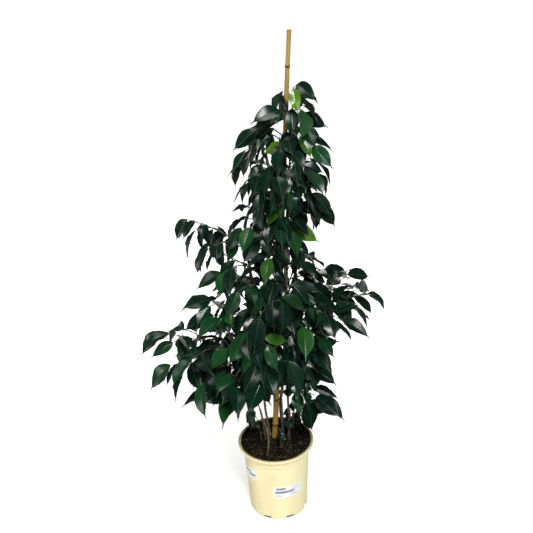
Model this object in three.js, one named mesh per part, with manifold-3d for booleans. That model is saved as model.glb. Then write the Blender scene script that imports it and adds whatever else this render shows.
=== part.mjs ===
// A weeping fig in its grower's pot: a pot of potting mix, five leafy stems round a bamboo cane, and
// two paper labels. Millimetres, +Z up, with the origin at the middle of the pot's flat underside.
// The viewer of the plant stands at -Y, and headings run from +X (0) towards +Y (90).
import * as THREE from 'three';
import { mergeVertices } from 'three/addons/utils/BufferGeometryUtils.js';
import Module from 'manifold-3d';

const wasm = await Module();
wasm.setup();

// Driving dimensions
const DEG = Math.PI / 180;
const UP = new THREE.Vector3(0, 0, 1);
const CLEARANCE = 0.3;
const FLATNESS = 0.02;
const POT = {
  height: 241,
  rimRadius: 120,
  lipHeight: 9,
  collarRadius: 105.5,
  collarHeight: 203,
  shoulderRadius: 103.5,
  footRadius: 93,
  wall: 2.4,
  floor: 2.6,
  facets: 32,
};
const NOTCH = { count: 8, firstHeading: -69.4, width: 26, height: 9, depth: 13 };
const SOIL_TOP = 230;
const SOIL_RISE_AT_WALL = 3;
const HEAP = { x: 62, y: 55, height: 40, radius: 26 };
const STEM_BASE = 228;
const STEM_DEPTH = 78;
const HOLE_RISE = 20;
const CANE = {
  foot: 25,
  top: 1451,
  lean: 0.0726,
  footRadius: 8.7,
  topRadius: 5.6,
  soilX: -2,
  soilY: 20,
  hollowDepth: 12,
  nodes: [280, 371, 490, 650, 825, 1008, 1190, 1362],
};

// A leaf: the usual length of its blade at each height on the plant, then its proportions
const LEAF = {
  lengths: [[450, 92], [800, 81], [1150, 73]],
  spread: 34,
  halfWidth: 0.205,
  thickness: 1.3,
  stalk: 15,
  stalkRadius: 0.7,
  rootLift: 0.15,
  rootSink: 1.5,
  endLeafShare: 1.1,
  widestAt: 0.34,
  taperAt: 0.62,
  taperShare: 0.8,
  neckAt: 0.86,
  neckShare: 0.11,
  turnToLight: 0.38,
};

// The light that the plant grew in came from its front and above; leaves behind it turn to it less
const LIGHT = new THREE.Vector3(-0.1, -0.8, 0.6).normalize();
const SHADE = { from: 20, depth: 120, least: 0.1 };

// The labels: headings of the left and right edge, heights of the lower and upper edge at the left,
// and the rise from left to right
const LABEL = { columns: 6, gap: 0.35, paper: 0.5 };
const LABELS = {
  label_front: { from: 260, to: 315, low: 90, high: 132, rise: -3 },
  label_side: { from: 189, to: 229, low: 127, high: 168, rise: 14 },
};

// Each kind of twig: the share without leaves at its foot, its radius at foot and tip, its number of
// straight runs and the way between two of its leaves
const SPRAY = { bare: 0.35, radius: [2.4, 1.5], steps: 4, spacing: 21 };
const SIDE_TWIG = { bare: 0.2, radius: [1.8, 1.5], steps: 2, spacing: 21 };
const FILLING_TWIG = { bare: 0.26, radius: [1.8, 1.5], steps: 2, spacing: 16 };
const FILLING_START = 480;

// Where the leafy stems stand. Each point is height, x and y; the sector is the range of headings that
// its filling twigs take; a spray is start height, tip x, tip y, tip height, arch and hang, where hang
// runs from 0, leaves held out, to 1, leaves hanging straight down.
const STEMS = [
  {
    name: 'leafy_stem_leader',
    colour: 0x2c5234,
    radius: [6, 2],
    sides: 6,
    points: [
      [STEM_BASE, 26, 43], [345, 21, 32], [430, 32, 25], [600, 44, 17],
      [800, 58, 13], [1000, 70, 12], [1150, 80, 12], [1240, 88, 12],
      [1306, 95, 4],
    ],
    sector: [[400, -10, 100], [1000, -40, 110], [1060, -80, 150], [1180, -150, 150]],
    twigs: 17,
    sprays: [
      [1270, 104, -8, 1314, 18, 1],
      [1205, 108, -22, 1228, 28, 0.6],
      [1185, 62, -8, 1246, 20, 0],
      [1160, 10, 6, 1208, 36, 0.5],
      [1140, 128, -30, 1166, 30, 0.6],
      [1100, -26, 0, 1158, 40, 0.6],
      [1040, 140, 30, 1080, 40, 0.6],
      [700, 130, 175, 790, 60, 0.3],
      [560, 175, 150, 640, 60, 0.25],
    ],
  },
  {
    name: 'leafy_stem_left',
    colour: 0x27492f,
    radius: [4.5, 1.8],
    sides: 5,
    points: [
      [STEM_BASE, -16, 30], [365, -29, 20], [480, -22, 4], [640, 8, -12],
      [820, 22, -14], [1030, 40, -18], [1090, 42, -30],
    ],
    sector: [[400, 165, 280], [1090, 165, 285]],
    twigs: 12,
    sprays: [
      [1050, -24, -55, 1086, 36, 0.7],
      [800, -198, -10, 972, 55, 0.65],
      [770, -150, 5, 880, 25, 0.8],
      [720, -116, -30, 816, 25, 0.5],
      [620, -176, -15, 738, 25, 0.15],
      [480, -302, -28, 642, 50, 0.3],
      [440, -280, -50, 552, 60, 0.7],
      [450, -195, 50, 505, 30, 0.25],
      [395, -180, -48, 452, 26, 0.15],
      [890, -50, -34, 950, 24, 0.8],
    ],
  },
  {
    name: 'leafy_stem_right',
    colour: 0x31593a,
    radius: [4.5, 1.8],
    sides: 5,
    points: [
      [STEM_BASE, 42, 12], [330, 46, 4], [450, 42, -14], [600, 40, -18],
      [800, 50, -20], [1000, 64, -20], [1110, 74, -26],
    ],
    sector: [[400, 262, 370], [1110, 255, 375]],
    twigs: 10,
    sprays: [
      [1075, 108, -75, 1108, 30, 0.6],
      [965, 134, -34, 1012, 36, 0.6],
      [620, 220, 2, 774, 30, 0],
      [610, 276, -14, 726, 60, 0.2],
      [570, 212, -30, 696, 45, 0.3],
      [530, 170, -42, 654, 35, 0.25],
      [460, 112, -50, 514, 30, 0.15],
      [400, 115, -64, 436, 40, 0.15],
      [300, 130, -50, 402, 30, 0.2],
    ],
  },
  {
    name: 'leafy_stem_back',
    colour: 0x254a36,
    radius: [4.5, 1.8],
    sides: 5,
    points: [
      [STEM_BASE, 2, 66], [340, 2, 56], [480, 8, 48], [640, 18, 42],
      [820, 30, 40], [1020, 46, 40], [1180, 54, 44],
    ],
    sector: [[400, 95, 165], [1060, 95, 185], [1180, 140, 230]],
    twigs: 9,
    sprays: [
      [1040, -34, 66, 1110, 40, 0.6],
      [860, -40, 150, 960, 50, 0.4],
      [740, 40, 200, 850, 60, 0.3],
      [620, -90, 190, 730, 60, 0.25],
      [500, 50, 240, 610, 60, 0.25],
      [430, -150, 190, 530, 50, 0.2],
    ],
  },
  {
    name: 'leafy_stem_front',
    colour: 0x3c6b3c,
    radius: [2.8, 1.5],
    sides: 5,
    points: [
      [STEM_BASE, -29, -73], [297, -22, -72], [373, -37, -68], [441, -52, -62],
      [560, -40, -60], [720, -6, -62],
    ],
    sector: [[420, 200, 300], [720, 220, 330]],
    twigs: 4,
    sprays: [
      [410, -108, -92, 486, 22, 0.3],
      [450, -140, -120, 550, 40, 0.3],
      [500, 36, -150, 600, 40, 0.6],
      [580, -60, -165, 690, 40, 0.55],
      [690, 30, -150, 780, 40, 0.7],
    ],
  },
];

// How far a filling twig reaches from its stem at each height
const CROWN = [[380, 50], [470, 76], [620, 76], [800, 38], [900, 34], [1050, 54], [1150, 62], [1230, 44],
  [1320, 26]];

// The same repeatable draw from 0 to 1 for the same seed and channel
function draw(seed, channel) {
  const wave = Math.sin(seed * 12.9898 + channel * 78.233) * 43758.5453;
  return wave - Math.floor(wave);
}

// Straight-line reading of a table of rows [key, value, value, ...]
function readTable(rows, key) {
  let i = 0;
  while (i < rows.length - 2 && key > rows[i + 1][0]) i += 1;
  const [a, b] = [rows[i], rows[i + 1]];
  const share = Math.min(Math.max((key - a[0]) / (b[0] - a[0]), 0), 1);
  return a.slice(1).map((value, k) => value + (b[k + 1] - value) * share);
}

function heading(degrees) {
  return new THREE.Vector3(Math.cos(degrees * DEG), Math.sin(degrees * DEG), 0);
}

// Solids

function solidFrom(geometry) {
  const plain = geometry.index ? geometry.toNonIndexed() : geometry.clone();
  plain.deleteAttribute('normal');
  plain.deleteAttribute('uv');
  const merged = mergeVertices(plain, 1e-4);
  return new wasm.Manifold(new wasm.Mesh({
    numProp: 3,
    vertProperties: new Float32Array(merged.getAttribute('position').array),
    triVerts: new Uint32Array(merged.index.array),
    tolerance: FLATNESS,
  }));
}

function facesToSolid(faces) {
  const points = faces.flat().flatMap((p) => [p.x, p.y, p.z]);
  const geometry = new THREE.BufferGeometry();
  geometry.setAttribute('position', new THREE.Float32BufferAttribute(points, 3));
  return solidFrom(geometry);
}

function geometryFrom(solid) {
  const mesh = solid.getMesh();
  const geometry = new THREE.BufferGeometry();
  geometry.setAttribute('position', new THREE.BufferAttribute(new Float32Array(mesh.vertProperties), 3));
  geometry.setIndex(new THREE.BufferAttribute(new Uint32Array(mesh.triVerts), 1));
  const flat = geometry.toNonIndexed();
  flat.computeVertexNormals();
  return flat;
}

// A closed body through rings of equal point counts, each running the same way round
function loft(rings) {
  const faces = [];
  const count = rings[0].length;
  for (let r = 0; r < rings.length - 1; r += 1) {
    for (let i = 0; i < count; i += 1) {
      const j = (i + 1) % count;
      const [a, b, c, d] = [rings[r][i], rings[r][j], rings[r + 1][j], rings[r + 1][i]];
      faces.push([a, b, c], [a, c, d]);
    }
  }
  const last = rings[rings.length - 1];
  for (let i = 1; i < count - 1; i += 1) {
    faces.push([rings[0][0], rings[0][i + 1], rings[0][i]]);
    faces.push([last[0], last[i], last[i + 1]]);
  }
  return facesToSolid(faces);
}

function turned(profile, facets) {
  const points = profile.map(([x, y]) => new THREE.Vector2(x, y));
  const geometry = new THREE.LatheGeometry(points, facets);
  geometry.rotateX(Math.PI / 2);
  return solidFrom(geometry);
}

// A level ring of points round (x, y, z)
function levelRing(x, y, z, radius, sides) {
  return Array.from({ length: sides }, (_, i) => {
    const angle = (i / sides) * 2 * Math.PI;
    return new THREE.Vector3(x + radius * Math.cos(angle), y + radius * Math.sin(angle), z);
  });
}

// Pot

function potSolid() {
  const p = POT;
  const lipInner = p.rimRadius - 4;
  const body = turned([
    [0, 0],
    [p.footRadius, 0],
    [p.shoulderRadius, p.collarHeight],
    [p.collarRadius, p.collarHeight + 1],
    [p.collarRadius + 0.8, p.height - p.lipHeight - 2],
    [p.rimRadius - 0.8, p.height - p.lipHeight],
    [p.rimRadius, p.height - 1.5],
    [lipInner, p.height],
    [p.collarRadius - 1, p.height - 4],
    [p.collarRadius - p.wall, p.collarHeight + 2],
    [p.footRadius - p.wall, p.floor],
    [0, p.floor],
  ], p.facets);
  const notches = [];
  for (let i = 0; i < NOTCH.count; i += 1) {
    const angle = NOTCH.firstHeading + (i * 360) / NOTCH.count;
    const box = new THREE.BoxGeometry(NOTCH.depth * 2, NOTCH.width, NOTCH.height * 2);
    box.translate(p.footRadius, 0, 0);
    box.rotateZ(angle * DEG);
    notches.push(solidFrom(box));
  }
  return body.subtract(wasm.Manifold.union(notches));
}

// Height of the lumpy soil surface, with a mossy heap at the back right
function soilHeight(x, y) {
  const lumps = 3.2 * Math.sin(x * 0.061 + 1.2) * Math.cos(y * 0.052)
    + 2.4 * Math.sin(x * 0.11 - y * 0.13);
  const heap = HEAP.height * Math.exp(-((Math.hypot(x - HEAP.x, y - HEAP.y) / HEAP.radius) ** 4));
  return SOIL_TOP + lumps + heap;
}

function soilSolid() {
  const p = POT;
  const inner = p.wall + CLEARANCE;
  const wallTop = p.collarHeight + 2;
  const foot = p.floor + CLEARANCE;
  const edge = p.collarRadius - inner;
  const rings = [
    levelRing(0, 0, foot, p.footRadius - inner, p.facets),
    levelRing(0, 0, wallTop, edge, p.facets),
    levelRing(0, 0, SOIL_TOP + SOIL_RISE_AT_WALL, edge, p.facets),
  ];
  for (const share of [0.97, 0.8, 0.6, 0.35]) {
    const ring = levelRing(0, 0, 0, share * edge, p.facets);
    for (const point of ring) point.z = soilHeight(point.x, point.y);
    rings.push(ring);
  }
  const faces = [];
  const [bottom, top] = [rings[0], rings[rings.length - 1]];
  const under = new THREE.Vector3(0, 0, foot);
  const crown = new THREE.Vector3(0, 0, soilHeight(0, 0));
  for (let i = 0; i < p.facets; i += 1) {
    const j = (i + 1) % p.facets;
    faces.push([under, bottom[j], bottom[i]], [crown, top[i], top[j]]);
    for (let r = 0; r < rings.length - 1; r += 1) {
      const [a, b, c, d] = [rings[r][i], rings[r][j], rings[r + 1][j], rings[r + 1][i]];
      faces.push([a, b, c], [a, c, d]);
    }
  }
  return facesToSolid(faces);
}

// Bamboo cane

function caneCentre(z) {
  return [CANE.soilX + CANE.lean * (z - STEM_BASE), CANE.soilY];
}

function caneRadius(z) {
  const share = (z - CANE.foot) / (CANE.top - CANE.foot);
  return CANE.footRadius + (CANE.topRadius - CANE.footRadius) * share;
}

function caneRing(z, extra, sides) {
  const [x, y] = caneCentre(z);
  return levelRing(x, y, z, caneRadius(z) + extra, sides);
}

function caneSolid() {
  const sides = 8;
  const rings = [caneRing(CANE.foot, 0, sides)];
  for (const z of CANE.nodes) {
    rings.push(caneRing(z - 5, -0.4, sides), caneRing(z, 1.1, sides), caneRing(z + 4, -0.5, sides));
  }
  rings.push(caneRing(CANE.top, 0, sides));
  const hollow = loft([
    caneRing(CANE.top - CANE.hollowDepth, -2.6, sides),
    caneRing(CANE.top + 2, -2.2, sides),
  ]);
  return loft(rings).subtract(hollow);
}

function caneHole() {
  const [foot, mouth] = [CANE.foot - CLEARANCE, STEM_BASE + HOLE_RISE]
    .map((z) => new THREE.Vector3(...caneCentre(z), z));
  return holeSolid(foot, mouth, CANE.footRadius);
}

// A straight blind hole for what stands in the soil, a little wider than it is
function holeSolid(foot, mouth, radius) {
  const sides = 6;
  const wide = (radius + CLEARANCE) / Math.cos(Math.PI / sides) + 0.1;
  return loft([
    levelRing(foot.x, foot.y, foot.z, wide, sides),
    levelRing(mouth.x, mouth.y, mouth.z, wide, sides),
  ]);
}

// Stems

// Smooth place of a stem's axis at a height, a cubic through its points
function stemAt(stem, z) {
  const rows = stem.points;
  const last = rows.length - 1;
  let i = 0;
  while (i < last - 1 && z > rows[i + 1][0]) i += 1;
  const slope = (k, axis) => {
    const [a, b] = [rows[Math.max(k - 1, 0)], rows[Math.min(k + 1, last)]];
    return (b[axis] - a[axis]) / (b[0] - a[0]);
  };
  const h = rows[i + 1][0] - rows[i][0];
  const u = (z - rows[i][0]) / h;
  const value = (axis) => (
    (2 * u ** 3 - 3 * u ** 2 + 1) * rows[i][axis] + (u ** 3 - 2 * u ** 2 + u) * h * slope(i, axis)
    + (-2 * u ** 3 + 3 * u ** 2) * rows[i + 1][axis] + (u ** 3 - u ** 2) * h * slope(i + 1, axis));
  return new THREE.Vector3(value(1), value(2), z);
}

// The foot of a stem goes on below the soil in the direction of its first stretch
function stemFoot(stem, depth) {
  const [base, next] = stem.points;
  const share = depth / (next[0] - base[0]);
  return new THREE.Vector3(base[1] - (next[1] - base[1]) * share, base[2] - (next[2] - base[2]) * share,
    base[0] - depth);
}

function stemSolid(stem) {
  const [z0, z1] = [stem.points[0][0], stem.points[stem.points.length - 1][0]];
  const steps = Math.round((z1 - z0) / 100);
  const foot = stemFoot(stem, STEM_DEPTH);
  const rings = [levelRing(foot.x, foot.y, foot.z, stem.radius[0], stem.sides)];
  for (let k = 0; k <= steps; k += 1) {
    const z = z0 + ((z1 - z0) * k) / steps;
    const radius = stem.radius[0] + ((stem.radius[1] - stem.radius[0]) * k) / steps;
    const at = stemAt(stem, z);
    rings.push(levelRing(at.x, at.y, z, radius, stem.sides));
  }
  return loft(rings);
}

function stemHole(stem) {
  return holeSolid(stemFoot(stem, STEM_DEPTH + CLEARANCE), stemFoot(stem, -HOLE_RISE), stem.radius[0]);
}

// Twigs: one arched curve in an upright plane, from inside its stem to its tip

function twigCurve(start, tip, arch) {
  const control = start.clone().add(tip).multiplyScalar(0.5);
  control.z += arch;
  const away = tip.clone().sub(start).setZ(0).normalize();
  const side = new THREE.Vector3(-away.y, away.x, 0);
  return { start, control, tip, away, side, length: start.distanceTo(tip) * 1.04 };
}

function curvePoint(twig, t) {
  const { start, control, tip } = twig;
  return start.clone().multiplyScalar((1 - t) ** 2)
    .addScaledVector(control, 2 * t * (1 - t)).addScaledVector(tip, t ** 2);
}

// A point on the twig's axis, which runs straight from ring to ring
function twigPoint(twig, t) {
  const { steps } = twig;
  const k = Math.min(Math.floor(t * steps), steps - 1);
  return curvePoint(twig, k / steps).lerp(curvePoint(twig, (k + 1) / steps), t * steps - k);
}

function twigTangent(twig, t) {
  const { start, control, tip } = twig;
  return control.clone().sub(start).multiplyScalar(1 - t)
    .addScaledVector(tip.clone().sub(control), t).normalize();
}

// Rings stand upright, so that every face of the twig is flat and a stalk leaves it through one face
function twigRing(twig, t) {
  const at = curvePoint(twig, t);
  const radius = twig.radius[0] + (twig.radius[1] - twig.radius[0]) * t;
  return [90, 210, 330].map((degrees) => at.clone()
    .addScaledVector(twig.side, radius * Math.cos(degrees * DEG))
    .addScaledVector(UP, radius * Math.sin(degrees * DEG)));
}

function twigSolid(twig) {
  const rings = [];
  for (let k = 0; k <= twig.steps; k += 1) rings.push(twigRing(twig, k / twig.steps));
  return loft(rings);
}

// Leaves

// The places of a twig's leaves, from its tip back. The solid has every other one of the plant's leaves.
function leafPlaces(twig) {
  const places = [];
  for (let k = 0; (k * twig.spacing) / twig.length < 1 - twig.bare; k += 2) {
    const t = 1 - (k * twig.spacing) / twig.length;
    places.push({ t, turn: k === 0 ? 0 : 1 - (k % 4), seed: twig.seed + k });
  }
  return places;
}

// How far a blade rolls about its length towards the light
function turnToLight(root, along, level) {
  const lit = LIGHT.clone().addScaledVector(along, -LIGHT.dot(along));
  const angle = Math.atan2(level.clone().cross(lit).dot(along), level.dot(lit));
  const share = Math.min(Math.max(1 - (root.y - SHADE.from) / SHADE.depth, SHADE.least), 1);
  return LEAF.turnToLight * share * angle;
}

// Everything that sets a leaf: its size, where its stalk leaves the twig and how its blade hangs
function leafShape(twig, place, bend) {
  const { seed, turn, t } = place;
  const tangent = twigTangent(twig, t);
  const root = twigPoint(twig, t).addScaledVector(UP, LEAF.rootLift)
    .addScaledVector(tangent, turn === 0 ? -LEAF.rootSink : 0);
  const usual = readTable(LEAF.lengths, root.z)[0] * (turn === 0 ? LEAF.endLeafShare : 1);
  const length = usual + LEAF.spread * (draw(seed, 1) - 0.5);
  const stalkWay = tangent.clone().multiplyScalar(turn === 0 ? 1 : 0.55)
    .addScaledVector(twig.side, 0.8 * turn).addScaledVector(UP, 0.3 - 0.25 * twig.hang).normalize();
  const stalk = LEAF.stalk * (0.8 + 0.4 * draw(seed, 2));
  const base = root.clone().addScaledVector(stalkWay, stalk);
  const spread = turn * (40 + 26 * (draw(seed, 3) - 0.5)) + 34 * (draw(seed, 4) - 0.5) + bend.spread;
  const droop = (4 + 66 * twig.hang + 34 * (draw(seed, 5) - 0.5) + bend.droop) * DEG;
  const flat = twig.away.clone().applyAxisAngle(UP, spread * DEG);
  const along = flat.clone().multiplyScalar(Math.cos(droop)).addScaledVector(UP, -Math.sin(droop));
  const level = flat.clone().multiplyScalar(Math.sin(droop)).addScaledVector(UP, Math.cos(droop));
  const roll = turnToLight(root, along, level) + (84 * (draw(seed, 6) - 0.5) + 10 * turn) * DEG;
  const normal = level.applyAxisAngle(along, roll);
  return {
    root,
    base,
    along,
    normal,
    right: along.clone().cross(normal),
    length,
    half: length * LEAF.halfWidth * (0.92 + 0.2 * draw(seed, 7)),
    bow: (18 + 34 * draw(seed, 8)) * DEG,
    fold: 0.16 + 0.32 * draw(seed, 9),
    wave: (1.2 + 1.6 * draw(seed, 10)) * (draw(seed, 11) < 0.5 ? -1 : 1),
  };
}

// Place and normal on the blade's midrib, which bows downwards along its length
function midrib(leaf, share) {
  const angle = leaf.bow * share;
  const radius = leaf.length / leaf.bow;
  const at = leaf.base.clone().addScaledVector(leaf.along, radius * Math.sin(angle))
    .addScaledVector(leaf.normal, -radius * (1 - Math.cos(angle)));
  const normal = leaf.normal.clone().multiplyScalar(Math.cos(angle))
    .addScaledVector(leaf.along, Math.sin(angle));
  return { at, normal };
}

// A cross-section of the blade: folded up from the midrib and waved at its edges
function bladeSection(leaf, share, half, wave) {
  const { at, normal } = midrib(leaf, share);
  const edge = (way) => at.clone().addScaledVector(leaf.right, way * half)
    .addScaledVector(normal, leaf.fold * half + way * wave);
  return {
    left: edge(-1),
    right: edge(1),
    top: at.clone().addScaledVector(normal, LEAF.thickness * 0.4),
    under: at.clone().addScaledVector(normal, -LEAF.thickness * 0.6),
  };
}

// A cross-section without a top point, for the stalk and the narrow neck of the drip tip
function narrowSection(at, right, normal, half, depth) {
  return {
    left: at.clone().addScaledVector(right, -half).addScaledVector(normal, depth * 0.4),
    right: at.clone().addScaledVector(right, half).addScaledVector(normal, depth * 0.4),
    under: at.clone().addScaledVector(normal, -depth * 0.6),
  };
}

// The two ends of the stalk, a straight prism cut square in the twig and mitred where the blade starts
function stalkSections(leaf) {
  const way = leaf.base.clone().sub(leaf.root).normalize();
  const right = leaf.right.clone().addScaledVector(way, -leaf.right.dot(way)).normalize();
  const normal = right.clone().cross(way);
  const mitre = way.clone().add(leaf.along).normalize();
  const root = narrowSection(leaf.root, right, normal, LEAF.stalkRadius, 1.6 * LEAF.stalkRadius);
  const end = {};
  for (const [name, point] of Object.entries(root)) {
    const reach = leaf.base.clone().sub(point).dot(mitre) / way.dot(mitre);
    end[name] = point.clone().addScaledVector(way, reach);
  }
  return [root, end];
}

// Faces between two sections, split along like diagonals on the upper and the lower face
function joinSections(a, b) {
  const faces = [
    [a.under, a.left, b.under], [a.left, b.left, b.under],
    [a.right, a.under, b.under], [a.right, b.under, b.right],
  ];
  if (a.top && b.top) {
    faces.push([a.left, a.top, b.top], [a.left, b.top, b.left]);
    faces.push([a.top, a.right, b.top], [a.right, b.right, b.top]);
  } else if (b.top) {
    faces.push([a.left, a.right, b.top], [a.left, b.top, b.left], [a.right, b.right, b.top]);
  } else if (a.top) {
    faces.push([a.left, a.top, b.left], [a.top, b.right, b.left], [a.top, a.right, b.right]);
  } else {
    faces.push([a.left, a.right, b.right], [a.left, b.right, b.left]);
  }
  return faces;
}

function leafSolid(leaf) {
  const neck = midrib(leaf, LEAF.neckAt);
  const tip = midrib(leaf, 1).at;
  const sections = [
    ...stalkSections(leaf),
    bladeSection(leaf, LEAF.widestAt, leaf.half, leaf.wave),
    bladeSection(leaf, LEAF.taperAt, leaf.half * LEAF.taperShare, -leaf.wave),
    narrowSection(neck.at, leaf.right, neck.normal, leaf.half * LEAF.neckShare, LEAF.thickness),
  ];
  const [root, end] = [sections[0], sections[sections.length - 1]];
  const faces = [[root.left, root.under, root.right]];
  for (let k = 1; k < sections.length; k += 1) faces.push(...joinSections(sections[k - 1], sections[k]));
  faces.push([end.left, end.right, tip], [end.under, end.left, tip], [end.right, end.under, tip]);
  return facesToSolid(faces);
}

// Growing the plant: each new piece is bent until it is clear of what already stands

const TWIG_BENDS = [0, 13, -13, 26, -26, 40, -40, 55, -55];
const LEAF_BENDS = [
  { spread: 0, droop: 0 },
  { spread: 22, droop: 0 },
  { spread: -22, droop: 0 },
  { spread: 0, droop: 22 },
  { spread: 0, droop: -22 },
  { spread: 44, droop: 10 },
  { spread: -44, droop: 10 },
  { spread: 20, droop: 30 },
  { spread: -20, droop: -30 },
];
const NODE_GAP = 0.35;
const standing = [];

function boxesMeet(a, b, gap) {
  return [0, 1, 2].every((k) => a.min[k] <= b.max[k] + gap && b.min[k] <= a.max[k] + gap);
}

function stand(owner, kind, solid) {
  standing.push({ owner, kind, solid, box: solid.boundingBox() });
  return solid;
}

// Clear of every other node, and a leaf also of all of its own stem but the twig that bears it
function isClear(owner, kind, solid, bearer) {
  const box = solid.boundingBox();
  return !standing.some((other) => {
    if (other.solid === bearer || !boxesMeet(box, other.box, NODE_GAP)) return false;
    if (other.owner !== owner) return solid.minGap(other.solid, 2 * NODE_GAP) < NODE_GAP;
    return kind === 'leaf' && !solid.intersect(other.solid).isEmpty();
  });
}

function growLeaves(stem, twig) {
  for (const place of leafPlaces(twig)) {
    for (const bend of LEAF_BENDS) {
      const solid = leafSolid(leafShape(twig, place, bend));
      if (isClear(stem.name, 'leaf', solid, twig.solid)) {
        stand(stem.name, 'leaf', solid);
        break;
      }
    }
  }
}

// A twig turned about its start until it is clear, or nothing
function growTwig(stem, start, tip, arch, traits) {
  for (const bend of TWIG_BENDS) {
    const turnedTip = tip.clone().sub(start).applyAxisAngle(UP, bend * DEG).add(start);
    const twig = { ...twigCurve(start, turnedTip, arch), ...traits };
    const solid = twigSolid(twig);
    if (isClear(stem.name, 'twig', solid)) {
      stand(stem.name, 'twig', solid);
      return { ...twig, solid };
    }
  }
  return null;
}

// The side twigs of a spray: how far out they leave it, to which side, and the least spray that has them
const SIDE_TWIGS = [{ share: 0.45, turn: 1, least: 150 }, { share: 0.6, turn: -1, least: 260 }];
const SIDE_ANGLE = 48;
const SIDE_REACH = 0.62;

function growSideTwig(stem, spray, { share, turn }) {
  const { seed, hang } = spray;
  const start = twigPoint(spray, share);
  const way = spray.away.clone().applyAxisAngle(UP, turn * SIDE_ANGLE * DEG);
  const reach = spray.length * (1 - share) * SIDE_REACH;
  const tip = start.clone().addScaledVector(way, reach);
  tip.z += reach * (0.3 - 0.3 * hang);
  return growTwig(stem, start, tip, reach * 0.2, { ...SIDE_TWIG, seed: seed + 20 + 10 * turn, hang });
}

// A spray of the outline: one long twig with up to two side twigs
function growSprays(stem, index) {
  const grown = [];
  stem.sprays.forEach(([z, x, y, tipZ, arch, hang], k) => {
    const traits = { ...SPRAY, seed: 1000 * (index + 1) + 50 * k, hang };
    const spray = growTwig(stem, stemAt(stem, z), new THREE.Vector3(x, y, tipZ), arch, traits);
    if (!spray) return;
    grown.push(spray);
    for (const side of SIDE_TWIGS) {
      const twig = spray.length < side.least ? null : growSideTwig(stem, spray, side);
      if (twig) grown.push(twig);
    }
  });
  return grown;
}

// Filling twigs climb the stem, each turned on from the last by the golden share of the sector
function growFilling(stem, index) {
  const grown = [];
  const low = FILLING_START;
  const high = stem.points[stem.points.length - 1][0];
  for (let k = 0; k < stem.twigs; k += 1) {
    const seed = 1000 * (index + 1) + 500 + 20 * k;
    const z = low + ((high - low) * (k + 0.5)) / stem.twigs;
    const [from, to] = readTable(stem.sector, z);
    const golden = (k * 0.618034 + 0.37 * index) % 1;
    const way = heading(from + (to - from) * golden);
    const reach = readTable(CROWN, z)[0] * (0.7 + 0.5 * draw(seed, 1));
    const start = stemAt(stem, z);
    const tip = start.clone().addScaledVector(way, reach);
    tip.z += reach * (0.25 + 0.25 * draw(seed, 2));
    const traits = { ...FILLING_TWIG, seed, hang: 0.6 + 0.4 * draw(seed, 3) };
    const twig = growTwig(stem, start, tip, reach * 0.35, traits);
    if (twig) grown.push(twig);
  }
  return grown;
}

const pot = potSolid();
const cane = caneSolid();
stand('bamboo_cane', 'cane', cane);
stand('pot', 'pot', pot);
for (const stem of STEMS) stand(stem.name, 'stem', stemSolid(stem));
const soil = soilSolid().subtract(wasm.Manifold.union([caneHole(), ...STEMS.map(stemHole)]));
stand('soil', 'soil', soil);
const twigs = STEMS.map((stem, index) => growSprays(stem, index));
STEMS.forEach((stem, index) => twigs[index].push(...growFilling(stem, index)));
STEMS.forEach((stem, index) => twigs[index].forEach((twig) => growLeaves(stem, twig)));

// Each leafy stem is one body: its stem, twigs, stalks and leaves fused
function fusedStem(stem) {
  const parts = standing.filter((piece) => piece.owner === stem.name).map((piece) => piece.solid);
  const whole = wasm.Manifold.union(parts).asOriginal().simplify(FLATNESS);
  const bodies = whole.decompose().sort((a, b) => b.volume() - a.volume());
  return bodies[0];
}

// Labels: curved paper patches just off the pot's wall

// A patch between two headings and two heights, tilted by a rise from its left to its right edge
function labelSolid({ from, to, low, high, rise }) {
  const { columns, gap, paper } = LABEL;
  const inside = [];
  const outside = [];
  for (let i = 0; i <= columns; i += 1) {
    const share = i / columns;
    const way = heading(from + (to - from) * share);
    for (const z of [low + rise * share, high + rise * share]) {
      const wall = POT.footRadius + ((POT.shoulderRadius - POT.footRadius) * z) / POT.collarHeight;
      inside.push(way.clone().multiplyScalar(wall + gap).setZ(z));
      outside.push(way.clone().multiplyScalar(wall + gap + paper).setZ(z));
    }
  }
  const rings = [];
  for (let i = 0; i <= columns; i += 1) {
    const [a, b] = [2 * i, 2 * i + 1];
    rings.push([inside[a], inside[b], outside[b], outside[a]]);
  }
  return loft(rings);
}

const root = new THREE.Group();

function addMesh(name, solid, colour, roughness) {
  const material = new THREE.MeshStandardMaterial({ color: colour, roughness, flatShading: true });
  const mesh = new THREE.Mesh(geometryFrom(solid), material);
  mesh.name = name;
  root.add(mesh);
}

addMesh('pot', pot, 0xe6d9a2, 0.55);
addMesh('soil', soil, 0x2a2018, 0.95);
addMesh('bamboo_cane', cane, 0xc09a4e, 0.6);
for (const stem of STEMS) addMesh(stem.name, fusedStem(stem), stem.colour, 0.4);
for (const [name, place] of Object.entries(LABELS)) addMesh(name, labelSolid(place), 0xf2f2ee, 0.7);

export default root;
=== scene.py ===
import random
from math import atan2, cos, exp, floor, hypot, pi, radians, sin, sqrt, tan

import bpy
import numpy as np
from mathutils import Matrix, Vector, kdtree, noise
from mathutils.bvhtree import BVHTree


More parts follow.
